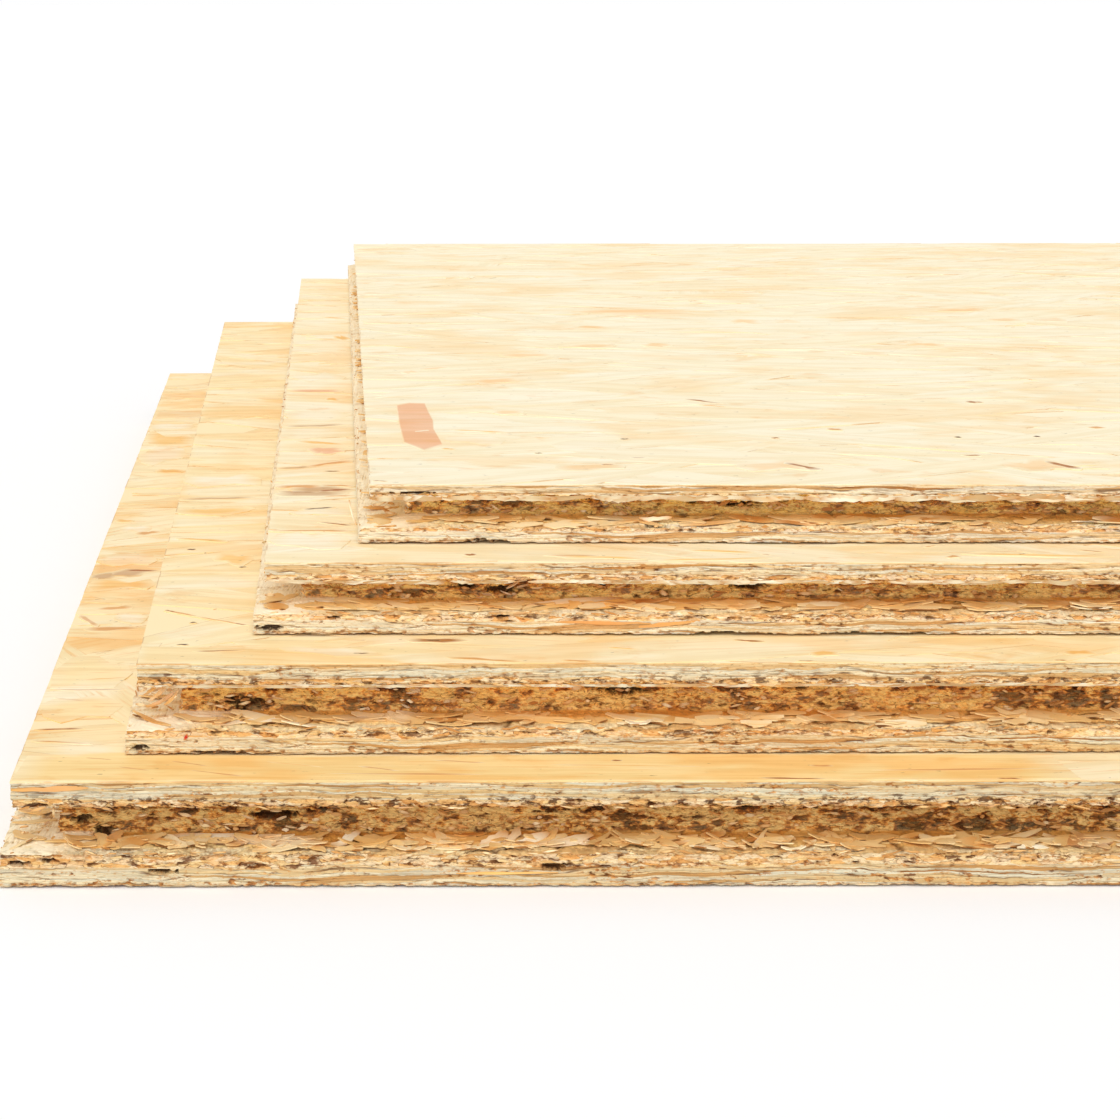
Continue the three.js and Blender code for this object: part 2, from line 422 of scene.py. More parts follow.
def cut_material(name, grime, tint, groove_light_tint):
    """Strands cut through at the milled edges. grime runs from 0 to 1 for the dirtiest panel, and
    also sets how much painted light and shade the grooves' walls get.
    """
    material, nodes, base_color = new_material(name, roughness=0.8, specular=0.2)
    field = strand_field(nodes)
    rest, share, core, floor = field.rest, field.share, field.core, field.floor
    inside = nodes.attribute("inside")
    brink = nodes.attribute("brink")

    granules = nodes.noise(rest, (4.0, 4.0, 1.6), detail=3.0, roughness=0.6)
    # painted light lifts the granules of a clean panel's wall
    granules = granules + nodes.sway(rest, (24, 24, 5), 0.6) + WALL_PAINTED_LIGHT * (1 - grime)
    # painted light and shade: a clean wall is lighter towards its top, under the upper lip, and
    # darker at its foot
    low, high = (
        (*(1 + (channel - 1) * (1 - grime) for channel in shade), 1.0)
        for shade in (WALL_FOOT_PAINTED_SHADE, WALL_TOP_PAINTED_LIGHT)
    )
    height = share.step(-0.13, 0.17)
    granules = nodes.shaded(nodes.ramp(granules, WALL_TONES), nodes.painted(low, height, high))
    within = inside.step(0.0, 0.2)
    # painted shade: high on the wall, deep under the upper lip, more of the dark granules
    amount = within * nodes.mix(field.deep, 0.6 + 0.2 * grime, 0.84 + 0.1 * grime)
    wall = nodes.painted(nodes.ramp(field.hue, GRAIN_TONES), amount, granules)
    tone = nodes.painted(nodes.ramp(field.hue, LIP_TONES), core, wall)

    # painted shade on the floor, growing into the groove, plus darker patches of its own tone
    shade_and_patches = inside.step(0.1, 0.9) + nodes.patches(rest, (20, 20, 6), 0.45, 0.6, 0.0, 0.5)
    ground = nodes.ramp(field.hue, FLOOR_TONES)
    ground = nodes.painted(ground, shade_and_patches, nodes.shaded(ground, FLOOR_SHADE))
    tone = nodes.painted(tone, floor, ground)

    grain_points = (nodes.per_mm(rest, size) for size in (FACE_GRAIN, CORE_GRAIN))
    grain = nodes.mix(field.in_core, *grain_points, "VECTOR")
    grain = nodes.noise(grain, detail=3.0, roughness=0.6)
    shade = grain.step(0.34, 0.62, nodes.mix(core, 0.7, 0.8), 1.05)
    tone = nodes.shaded(tone, nodes.combine(shade, shade, shade))
    # painted light: the groove's inside takes a warm tint of its own, for light bounced between
    # its walls
    tone = nodes.shaded(tone, nodes.painted(tint, within, groove_light_tint))

    # brown crumbs at the lips' chipped edges, and along the underside's edge brown painted shade
    # where panels meet
    at_upper_lip = share.step(-0.02, 0.02, 0.3 * grime, grime)
    at_underside = share.step(-0.49, UNDERSIDE_TO, 1.0, 0.0)
    crumbs_and_contact_shade = nodes.patches(rest, (3, 3, 1), 0.42, 0.56, 0.15, 0.85, detail=3.0)
    crumbs_and_contact_shade = crumbs_and_contact_shade * nodes.math("MAXIMUM", at_upper_lip, at_underside)
    brown = nodes.ramp(nodes.noise(rest, (1.9, 1.9, 0.8)), CRUMB_TONES)
    tone = nodes.painted(tone, brink * crumbs_and_contact_shade, brown)

    over_groove = share.step(LIP_BOTTOM, LIP_BOTTOM + 0.04) * share.step(0.3, 0.4, 1.0, 0.0)
    pocked = 0.9 * min(1, max(0, 4 * grime - 1.6))
    pock = nodes.patches(rest, (3.4, 3.4, 1.5), 0.54, 0.6, 0.0, pocked, detail=3.0, roughness=0.6)
    crumb = nodes.ramp(nodes.noise(rest, (3.2, 3.2, 1.2)), CRUMB_TONES)
    hollow_range = nodes.mix(core, 0.63, 0.56), nodes.mix(core, 0.7, 0.64)
    hollow = field.hollow.step(*hollow_range, 0.0, 0.9)
    bare = 0.75 - 0.6 * grime
    blotch = nodes.patches(rest, (6, 6, 4), 0.5, 0.6, 0.9, bare, detail=4.0, roughness=0.65)
    for amount, layer in (
        (pock * over_groove, PIT_TONE),
        (field.speck.step(0.56, 0.68, 0.0, nodes.mix(floor, 0.4 + 0.35 * grime, 0.4)), SPECK_TONE),
        (field.crumbs * nodes.mix(floor, 0.5 + 0.4 * grime, 0.4), crumb),
        (hollow * nodes.mix(floor, 0.55 + 0.4 * grime, 0.3), HOLLOW_TONE),
        (field.gap * (nodes.attribute("relief") * 0.75), GAP_TONE),
        # pale blotches of painted light from the left on the ledges
        (field.ledge * blotch, LEDGE_LIGHT_TONE),
        (field.pit * 0.86, PIT_TONE),
    ):
        tone = nodes.painted(tone, amount, layer)
    nodes.feed(base_color, tone)
    return material


# ------------ milled edges

STRAND_BED = 0.35  # mm by which a panel's body stays below its face, where the strands lie
FACE_CALM = 1.2  # mm below the top face within which the relief grows to its full depth
FACE_RELIEF = 0.15  # what is left of it at the top
ROW_SPACING = 0.43
HIDDEN_ROW_SPACING = 2.4
COLUMN_SPACING = 0.57
UNSEEN_COLUMN_SPACING = 24.0  # on the front edge past what the photograph shows
LEFT_STATIONS = (40, 1.5, 6.0)  # mm that are closely divided, and the two spacings
BACK_STATIONS = (10, 7.0, 7.0)
RIGHT_STATIONS = (10, 5.0, 5.0)
STATION_GROWTH = 1.12
BRINK_REACH = 1.4  # mm from a lip's sharp edge within which it is chipped
UNDERSIDE_BRINK = 0.5  # how much the underside's edges are chipped, against the other ones
FULL_LIP = 7.0  # a thinner upper lip than this is chipped less
MITRE_CALM = 4.0  # mm beside the far corners where the relief fades out
FLOOR_SLOPE = 2.5  # how fast a face that turns upwards becomes a floor
DEEP_FROM = 2.5  # mm into the groove
LEDGE_END = 17.0  # mm from the left corner to where the floor's smooth end, pale with painted light, stops
LEDGE_FADE = 9.0
LEFT_WALL_LEDGE = 0.65  # how much painted light the left groove's walls get, against its floor
UNDERSIDE_ROW = 4.0  # mm from the lower edge to where its relief has ended
LOWER_EDGE_RISE = 0.35  # how far the torn lower edge lifts off the panel below
PIT_BLUR = 1.35  # how far a pit's weight reaches, against the pit itself
WEIGHTS = ("relief", "ledge", "floor", "brink", "inside", "deep")


def subdivided(path, spacing, hidden_spacing):
    """The same outline in short steps, and in longer ones where it goes under the upper lip."""
    pieces = [path[:1]]
    for start, end in zip(path[:-1], path[1:]):
        limit = hidden_spacing if end[0] - start[0] > abs(end[1] - start[1]) else spacing
        count = max(1, math.ceil(np.linalg.norm(end - start) / limit))
        pieces.append(start + (end - start) * np.arange(1, count + 1)[:, None] / count)
    return np.concatenate(pieces)


def unit_rows(rows):
    return rows / np.linalg.norm(rows, axis=1)[:, None]


def outward(path, side):
    """Outward directions (reach, height) at an outline's points; side is -1 for a groove."""
    steps = unit_rows(np.diff(path, axis=0))
    mean = unit_rows(np.vstack([steps[:1], steps]) + np.vstack([steps, steps[-1:]]))
    return side * np.column_stack([-mean[:, 1], mean[:, 0]])


def brinks(path, side):
    """Where an outline turns sharply outwards, at the edges of the lips."""
    steps = unit_rows(np.diff(path, axis=0))
    turns = steps[:-1, 0] * steps[1:, 1] - steps[:-1, 1] * steps[1:, 0]
    return np.flatnonzero(side * turns < -0.5) + 1


def with_underside(path, side):
    """The outline and one more point, on the panel's underside."""
    return np.vstack([path, path[-1] - (side * UNDERSIDE_ROW, 0)])


def stations(length, fine_to, fine, coarse):
    """Distances along an edge: closely spaced up to fine_to, then wider and wider apart."""
    places = list(np.arange(0, fine_to, fine))
    step = fine
    while places[-1] + 1.5 * step < length:
        step = min(step * STATION_GROWTH, coarse)
        places.append(places[-1] + step)
    places[-1] = length
    return np.array(places)


def edge_grid(panel, path, axis, grooved, distances):
    """One milled edge as columns of points and outward directions, and each point's weights."""
    size = (panel.length, panel.width)
    side = -1 if grooved else 1
    reach, height = path.T
    direction = outward(path, side)
    direction[-2, 1] *= LOWER_EDGE_RISE
    low = reach_at(panel.groove, height)
    high = size[axis] + reach_at(panel.tongue, height)
    low[-1] += UNDERSIDE_ROW
    high[-1] -= UNDERSIDE_ROW
    run = (distances / size[axis])[:, None]
    points = np.empty((len(distances), len(path), 3))
    points[..., axis] = low + (high - low) * run
    points[..., 1 - axis] = reach + (0 if grooved else size[1 - axis])
    points[..., 2] = height
    out = np.zeros_like(points)
    out[..., 1 - axis] = direction[:, 0]
    out[..., 2] = direction[:, 1]
    mitre = 0 if grooved else -1
    out[mitre, :, axis] = direction[:, 0]

    to_far_end = size[axis] - distances if grooved else distances
    below_face = np.clip((panel.thickness - height) / FACE_CALM, FACE_RELIEF, 1)
    relief = np.clip(to_far_end / MITRE_CALM, 0, 1)[:, None] * below_face
    relief[:, -1] = 0
    floor = np.clip(direction[:, 1] * FLOOR_SLOPE - FLOOR_SLOPE / 2, 0, 1)
    floor[0] = 1
    on_end = height[reach > reach.max() - SAME_PLACE]
    rise = np.clip((height - on_end.min()) / np.ptp(on_end), 0, 1)
    inside = np.clip(reach / reach.max(), 0, 1) * grooved
    deep = np.clip(reach / DEEP_FROM, 0, 1) * rise**1.5 * grooved
    if axis == 0:
        ledge = np.clip((LEDGE_END - distances) / LEDGE_FADE, 0, 1)[:, None] * floor * grooved
    else:
        ledge = np.maximum(floor, LEFT_WALL_LEDGE) * grooved
    corners = path[brinks(path, side)]
    to_brink = np.linalg.norm(path[:, None] - corners, axis=2).min(axis=1)
    lip = panel.thickness - corners[0, 1]
    brink = np.clip(1 - to_brink / BRINK_REACH, 0, 1)
    brink *= np.where(height < BRINK_REACH, UNDERSIDE_BRINK, 1)
    brink *= np.where(height > panel.thickness / 2, min(1, (lip / FULL_LIP) ** 2), 1)
    weights = (relief, ledge, floor, brink, inside, deep)
    return points, out, np.stack([row * np.ones_like(relief) for row in weights], axis=2)


def grid_faces(index, flipped):
    """Quads between neighbouring columns and rows of a grid of vertex numbers."""
    corners = [index[:-1, :-1], index[:-1, 1:], index[1:, 1:], index[1:, :-1]]
    if flipped:
        corners.reverse()
    return np.stack([corner.ravel() for corner in corners], axis=1).tolist()


def seam_faces(coarse, beside, fine, coarse_heights, fine_heights, flipped):
    """Faces between two coarse columns, the first of which lies on a finer grid's last column."""
    faces = []
    for row in range(len(coarse) - 1):
        between = (fine_heights < coarse_heights[row]) & (fine_heights > coarse_heights[row + 1])
        face = [coarse[row], *fine[between], coarse[row + 1], beside[row + 1], beside[row]]
        faces.append(face[::-1] if flipped else face)
    return faces


def set_attributes(mesh, **named):
    """Gives each of a mesh's points a number, a vector or a colour, as the columns say."""
    for name, values in named.items():
        kind, field = {
            1: ("FLOAT", "value"), 3: ("FLOAT_VECTOR", "vector"), 4: ("FLOAT_COLOR", "color")
        }[values.size // len(values)]
        attribute = mesh.attributes.new(name, kind, "POINT")
        attribute.data.foreach_set(field, values.astype(np.float32).ravel())


def new_object(name, data):
    thing = bpy.data.objects.new(name, data)
    bpy.context.scene.collection.objects.link(thing)
    return thing


def mesh_object(name, vertices, faces):
    mesh = bpy.data.meshes.new(name)
    mesh.from_pydata(vertices, [], faces)
    return new_object(name, mesh)


def pit_weights(rest, pits):
    """How much each point belongs to a hole, from the holes' centres and reaches in mm."""
    weights = np.zeros(len(rest))
    for centre, reach in pits:
        distance = np.linalg.norm((rest - centre) / reach, axis=1)
        weights = np.maximum(weights, np.clip(PIT_BLUR - distance, 0, 1))
    return weights


def bed_material(name, palette):
    """What shows between the strands of a face."""
    material, _, base_color = new_material(name, roughness=0.8)
    base_color.default_value = np.average(palette, axis=0, weights=TONE_SHARES)
    return material


def with_modifier_applied(thing, tree):
    """The object, its mesh changed as the geometry nodes say."""
    modifier = thing.modifiers.new(tree.name, "NODES")
    modifier.node_group = tree
    evaluated = bpy.context.evaluated_depsgraph_get()
    changed = bpy.data.meshes.new_from_object(
        thing.evaluated_get(evaluated), preserve_all_data_layers=True, depsgraph=evaluated
    )
    thing.modifiers.clear()
    thing.data = changed
    return thing


def panel_body(panel, seen_length, tree, materials, pits):
    """The panel's milled edges with their relief, and its plain top and underside."""
    groove = panel.groove.copy()
    tongue = panel.tongue.copy()
    groove[0, 1] -= STRAND_BED
    tongue[0, 1] -= STRAND_BED
    groove = with_underside(subdivided(groove, ROW_SPACING, HIDDEN_ROW_SPACING), -1)
    tongue = with_underside(tongue, 1)
    front_stations = (seen_length, COLUMN_SPACING, UNSEEN_COLUMN_SPACING)
    edges = [
        (0, True, groove, stations(panel.length, *front_stations)),
        (1, True, groove, stations(panel.width, *LEFT_STATIONS)),
        (0, False, tongue, stations(panel.length, *BACK_STATIONS)),
        (1, False, tongue, stations(panel.width, *RIGHT_STATIONS)),
    ]
    points, out, weighed, columns = [], [], [], []
    first = 0
    for axis, grooved, path, distances in edges:
        grid, directions, weights = edge_grid(panel, path, axis, grooved, distances)
        columns.append(first + np.arange(grid[..., 0].size).reshape(grid.shape[:2]))
        points.append(grid.reshape(-1, 3))
        out.append(directions.reshape(-1, 3))
        weighed.append(weights.reshape(-1, len(WEIGHTS)))
        first += len(points[-1])
    points = np.concatenate(points)
    _, kept, merged = np.unique(
        np.round(points, 3), axis=0, return_index=True, return_inverse=True
    )
    front, left, back, right = (merged.ravel()[index] for index in columns)
    faces = grid_faces(front, False) + grid_faces(left, True)
    faces += grid_faces(back[1:], True) + grid_faces(right[1:], False)
    heights = tongue[:, 1], groove[:, 1]
    faces += seam_faces(back[0], back[1], left[-1], *heights, True)
    faces += seam_faces(right[0], right[1], front[-1], *heights, False)
    top, bottom = (
        [*dict.fromkeys([*front[:, row], *right[:, row], *back[::-1, row], *left[::-1, row]])]
        for row in (0, -1)
    )
    faces += [top, bottom[::-1]]
    rest = points[kept]
    body = mesh_object(panel.node + "_body", panel.place(rest), faces)
    directions = np.concatenate(out)[kept]
    turned = directions[:, :1] * [*panel.along, 0] + directions[:, 1:2] * [*panel.across, 0]
    turned[:, 2] = directions[:, 2]
    share = rest[:, 2] / panel.thickness - 0.5
    set_attributes(body.data, rest=rest, out=turned, share=share, pit=pit_weights(rest, pits))
    set_attributes(body.data, **dict(zip(WEIGHTS, np.concatenate(weighed)[kept].T)))
    for material in materials:
        body.data.materials.append(material)
    body.data.polygons[faces.index(top)].material_index = 1
    return with_modifier_applied(body, tree)


# ------------ strands on the faces

STRAND_LENGTH = (60, 130)
STRAND_WIDTH = (8, 26)
STRAND_COVER = 2.9  # how many strands deep the face is, on average
STRAND_CONTRAST = 0.65  # how far a strand keeps to its own tone rather than to the mean one
STRAND_TURN = 23  # degrees either way from the panel's length, as a standard deviation
SMALLEST_STRAND = 25  # square mm
SPREAD = (0.7548776662, 0.5698402910)  # steps that strew points evenly over a rectangle
PLAIN_FROM = 480  # mm from the left, past which strands have half the corners
LOWEST_STRAND = 0.08  # mm above the bed
FOOT_BELOW_BED = 0.1
HIDDEN_FROM = 2  # mm under the panel above, past which strands are left out
MARK_LIFT = 0.06  # mm that the marks share between them above the other strands
RIM_WIDTH = 2.2  # mm over which a strand's tone runs into that of the face around it
RIM_DROP = 0.015
SIDE_PAINTED_SHADE = (0.8, 0.62, 0.42, 1.0)  # painted shade: what a strand's tone is multiplied by where its sides end
SIDE_STAGGER = 0.12  # mm by which the lowest strands stay back from the panel's edges
STREAK_CORE = 0.5  # how far a streak's own tone reaches, as a share of its outline
SHAPE_CORE = 0.93
TONE_SHARES = [0.26, 0.32, 0.26, 0.12, 0.04]  # how much of a face has each of its palette's tones

# A strand's outline: corners along its sides, as shares of its length, and along its ragged
# tips, as shares of its width, and how far they stray.
SIDE_CORNERS = np.array([0.46, 0.17, -0.14, -0.46])
SIDE_STRAY = 0.12
WIDTH_STRAY = 0.035
TIP_REACHES = np.array([0.35, -0.2, 0.3])
TIP_CORNERS = np.array([0.26, -0.02, -0.28])
TIP_STRAY = (0.2, 1.4)
BOW = 0.006
STREAK_CORNERS = (0.12, 0.36, 0.62, 0.88)
STREAK_RAGGED = (0.2, 0.7)


def strand_outline(rng, length, width):
    """A flat strand about its middle: bowed sides and ragged ends."""
    bow = rng.normal(0, BOW) * length
    outline = []
    for side in (-1, 1):
        share = side * SIDE_CORNERS
        along = share * length + rng.normal(0, SIDE_STRAY, 4) * width
        half = width / 2 * (1 - 0.5 * np.abs(2 * share) ** 4)
        half = half + rng.normal(0, WIDTH_STRAY, 4) * width
        outline.append(np.column_stack([along, side * half + bow * (4 * share**2 - 1)]))
        tips = length / 2 + TIP_REACHES * width * rng.uniform(*TIP_STRAY, 3)
        outline.append(np.column_stack([side * -tips, side * width * TIP_CORNERS]))
    return np.vstack(outline)


def streak(rng, start, end, width):
    """A ragged streak's outline, pointed at both ends."""
    start, end = np.array(start), np.array(end)
    step = end - start
    across = np.array([-step[1], step[0]]) / np.linalg.norm(step) * width
    right = [
        start + step * share - across * rng.uniform(*STREAK_RAGGED) for share in STREAK_CORNERS
    ]
    left = [
        start + step * share + across * rng.uniform(*STREAK_RAGGED)
        for share in STREAK_CORNERS[::-1]
    ]
    return np.array([start, *right, end, *left])


def clipped(polygon, size, margin):
    """The part of a polygon inside the panel's face, less a margin."""
    near, far = margin, np.array(size) - margin
    for axis, limit, keep in ((0, near, 1), (0, far[0], -1), (1, near, 1), (1, far[1], -1)):
        kept = []
        for start, end in zip(polygon, np.roll(polygon, -1, axis=0)):
            inside = keep * (start[axis] - limit) >= 0
            crosses = inside != (keep * (end[axis] - limit) >= 0)
            if inside:
                kept.append(start)
            if crosses:
                share = (limit - start[axis]) / (end[axis] - start[axis])
                kept.append(start + (end - start) * share)
        if len(kept) < 3:
            return None
        polygon = np.array(kept)
    return polygon


def polygon_area(polygon):
    x, y = polygon.T
    return 0.5 * (x @ np.roll(y, -1) - y @ np.roll(x, -1))


def spin(turn):
    """The matrix whose product on the right turns flat rows back by turn."""
    return np.array([[math.cos(turn), -math.sin(turn)], [math.sin(turn), math.cos(turn)]])


def inset(polygon, turn, distance):
    """The polygon drawn in towards its middle, along and across its grain."""
    middle = (polygon.min(axis=0) + polygon.max(axis=0)) / 2
    local = (polygon - middle) @ spin(turn)
    shares = np.maximum(1 - 2 * distance / np.ptp(local, axis=0), 0.4)
    return (local * shares) @ spin(turn).T + middle


class StrandMesh:
    """Collects strands and flakes, with their own grain and tones, into one mesh."""

    def __init__(self, panel):
        self.panel = panel
        self.columns = {"place": [], "rest": [], "tone": [], "rim": []}
        self.faces = []
        self.count = 0

    def add_points(self, points, grain, tones, rim):
        """Adds points and returns their numbers; tones is one tone or one for each point."""
        tones = np.broadcast_to(tones, (len(points), 4))
        rim = np.broadcast_to(float(rim), len(points))
        for parts, part in zip(self.columns.values(), (points, grain, tones, rim)):
            parts.append(part)
        self.count += len(points)
        return np.arange(self.count - len(points), self.count)

    def add_slab(self, outline, inner, levels, grain_axes, own, around, rim):
        """A thin slab: its own tone inside, the face's tone and a lower rim around it, its sides
        in painted shade.
        """
        centre, turn, seed = grain_axes
        sides = np.multiply(around, SIDE_PAINTED_SHADE)
        rings = []
        for ring, level, tone, weight in zip(
            (inner, outline, outline), levels, (own, around, sides), (0, rim, rim)
        ):
            along = (ring - centre) @ spin(turn)
            grain = np.column_stack([along + (seed * 37.0, 0), np.full(len(ring), seed)])
            raised = np.column_stack([ring, np.full(len(ring), level)])
            rings.append(self.add_points(raised, grain, tone, weight))
        self.faces.append(rings[0].tolist())
        self.faces.append(rings[2][::-1].tolist())
        for upper, lower in zip(rings[:-1], rings[1:]):
            quads = np.stack([upper, lower, np.roll(lower, -1), np.roll(upper, -1)], axis=1)
            self.faces.extend(quads.tolist())

    def build(self, name, material):
        columns = {column: np.concatenate(parts) for column, parts in self.columns.items()}
        thing = mesh_object(name, self.panel.place(columns["place"]), self.faces)
        set_attributes(thing.data, **columns)
        thing.data.materials.append(material)
        return thing


def add_mark(strands, rng, mark, level, bottom, around):
    """A streak or a shape of its own tone, over the other strands."""
    *shape, tone = mark
    size = (strands.panel.length, strands.panel.width)
    if len(shape) == 1:
        outline, own_share = np.array(shape[0], dtype=float), SHAPE_CORE
    else:
        outline, own_share = streak(rng, shape[:2], shape[2:4], shape[4]), STREAK_CORE
    centre = outline.mean(axis=0)
    inner = clipped(centre + (outline - centre) * own_share, size, 0.0)
    outline = clipped(outline, size, 0.0)
    if len(inner) != len(outline):
        inner = centre + (outline - centre) * own_share
    levels = (level, level - MARK_LIFT * 0.1, bottom)
    grain_axes = (centre, 0.0, rng.uniform(0, 500))
    strands.add_slab(outline, inner, levels, grain_axes, tone, around, 0)


def face_strands(panel, above, palette, seed, material, marks):
    """Strands pressed into the panel's top face, where no other panel hides them."""
    rng = np.random.default_rng(seed)
    strands = StrandMesh(panel)
    size = (panel.length, panel.width)
    mean_area = np.mean(STRAND_LENGTH) * np.mean(STRAND_WIDTH)
    number = int(panel.length * panel.width * STRAND_COVER / mean_area)
    bed = panel.thickness - STRAND_BED
    bottom = bed - FOOT_BELOW_BED
    around = np.average(palette, axis=0, weights=TONE_SHARES)
    for index, level in enumerate(
        np.linspace(bed + LOWEST_STRAND, panel.thickness - MARK_LIFT, number)
    ):
        centre = (seed + index * np.array(SPREAD)) % 1 * size
        turn = math.radians(rng.normal(0, STRAND_TURN))
        outline = strand_outline(rng, rng.uniform(*STRAND_LENGTH), rng.uniform(*STRAND_WIDTH))
        if centre[0] > PLAIN_FROM:
            outline = outline[::2]
        own = palette[rng.choice(len(palette), p=TONE_SHARES)]
        margin = SIDE_STAGGER * (1 - index / number)
        outline = clipped(outline @ spin(turn).T + centre, size, margin)
        if outline is None or polygon_area(outline) < SMALLEST_STRAND:
            continue
        if above is not None:
            flat = panel.place(np.column_stack([outline, np.zeros(len(outline))]))
            if (above.local_flat(flat) > HIDDEN_FROM).all():
                continue
        tone = around + (own - around) * STRAND_CONTRAST
        inner = inset(outline, turn, RIM_WIDTH)
        levels = (level, level - RIM_DROP, bottom)
        strands.add_slab(outline, inner, levels, (centre, turn, seed + level), tone, around, 1)
    for rank, mark in enumerate(marks, start=1):
        level = panel.thickness - MARK_LIFT * 0.8 * (1 - rank / len(marks))
        add_mark(strands, rng, mark, level, bottom, around)
    return strands.build(panel.node + "_strands", material)


# ------------ torn flakes and fibres

FLAKE_TONES = colors(
    (255, 246, 218), (255, 238, 196), (252, 228, 176),
    (246, 212, 154), (234, 188, 126), (208, 150, 88),
)
FLAKE_SHARES = [0.2, 0.26, 0.23, 0.16, 0.1, 0.05]
FLAKE_EDGE = srgb(252, 234, 194)
FIBRE_TONES = colors((250, 226, 178), (242, 206, 148), (228, 178, 114), (196, 140, 78))
FIBRE_EDGE = srgb(206, 152, 92)
# painted shade: dark strips that stand for the shade in crevices between floor flakes
CREVICE_SHADE_TONES = colors((96, 56, 24), (134, 82, 36), (172, 112, 54))
FRINGE_TONES = colors((246, 236, 208), (232, 216, 180), (208, 178, 132))
FLAP_EDGE = srgb(216, 164, 100)
FRINGE_HANG = 0.37  # how far a thin upper lip's fringe hangs, as a share of what the lip lacks
SEEN_ALONG = 290  # mm of the front edge, from the left, where the photograph looks
LIP_STEP = 3.0  # mm that the lower lip stands out further than the upper one
WALL_CORNER = 1.2  # mm, the radius of the groove's corners
WALL_BLEND = 1.3  # mm before the groove's end that still count as its wall
BARE_END = 20  # mm at an edge's far end without flakes
FLAKE_SPACING = (2.8, 13.0)  # mm, where the photograph looks and elsewhere
WALL_FIBRE_SPACING = (1.3, 12.0)
LIP_FIBRE_SPACING = (2.8, 18.0)
WALL_FIBRE_TURN = 22  # degrees either way, as a standard deviation
LIP_FIBRE_TURN = 13
FLAKE_LIFT = 0.12
FRINGE_SEED = 40
FRONT_AXES = np.eye(3)  # right-handed columns, the first of them along the edge
LEFT_AXES = np.array([[0.0, 1, 0], [-1, 0, 0], [0, 0, 1]])


def turned_axes(turn, tip, roll):
    """Axes turned about up, then tipped at the far end, then rolled, in degrees."""
    matrix = Matrix.Identity(3)
    for angle, axis in ((turn, "Z"), (-tip, "Y"), (roll, "X")):
        matrix = matrix @ Matrix.Rotation(math.radians(angle), 3, axis)
    return np.array(matrix)


def add_flake(strands, rng, centre, size, axes, tones, count, curl=0.0):
    """A thin ragged slab of count cross-sections, curved by curl mm towards its ends.

    tones are its own and that of its ends; with a curl below 0 the ends sink in.
    """
    length, width, thick = size
    along = np.linspace(-0.5, 0.5, count)
    half = width / 2 * (1 - 0.7 * np.abs(2 * along) ** 3) * rng.uniform(0.7, 1.15, count)
    endwise = np.abs(2 * along)[:, None] ** 2
    tone = tones[0] * (1 - endwise) + np.array(tones[1]) * endwise
    rise = curl * (2 * along) ** 2
    along = along * length
    offset = rng.normal(0, 0.08, count) * width
    ring = [(-half, thick / 2), (half, thick / 2), (half, -thick / 2), (-half, -thick / 2)]
    corners = [np.column_stack([along, offset + side, rise + level]) for side, level in ring]
    local = np.stack(corners, axis=1).reshape(-1, 3)
    seed = rng.uniform(0, 1000)
    placed = local @ axes.T + centre
    numbers = strands.add_points(placed, local + (seed, 0, seed), np.repeat(tone, 4, axis=0), 0)
    index = numbers.reshape(count, 4)
    following = np.roll(index, -1, axis=1)
    quads = np.stack([index[:-1], index[1:], following[1:], following[:-1]], axis=2)
    strands.faces.extend(quads.reshape(-1, 4).tolist())
    strands.faces.append(index[0].tolist())
    strands.faces.append(index[-1][::-1].tolist())


def one_of(rng, choices):
    return choices[rng.integers(len(choices))]


def add_fringe(strands, panel, seed, upper_lip, rough):
    """The torn fringe under a thin upper lip, where the photograph looks."""
    rng = np.random.default_rng(seed)
    hang = FRINGE_HANG * (FULL_LIP - (panel.thickness - upper_lip))
    place = 0.0
    while hang > 0.2 and place < SEEN_ALONG:
        top, bottom = upper_lip + 0.25, upper_lip - hang * rng.uniform(0.6, 1.2)
        size = (rng.uniform(4, 13), top - bottom, 0.22)
        centre = (place + size[0] / 2, rng.uniform(0.25, 0.55), (top + bottom) / 2)
        turned = turned_axes(rng.normal(0, 1.5), rng.normal(0, 2), 90 + rng.normal(0, 9))
        shade = np.array([1 - 0.32 * rough] * 3 + [1.0])
        both = shade * one_of(rng, FRINGE_TONES), shade * FIBRE_EDGE
        add_flake(strands, rng, centre, size, turned, both, 6)
        place += rng.exponential(1.7)


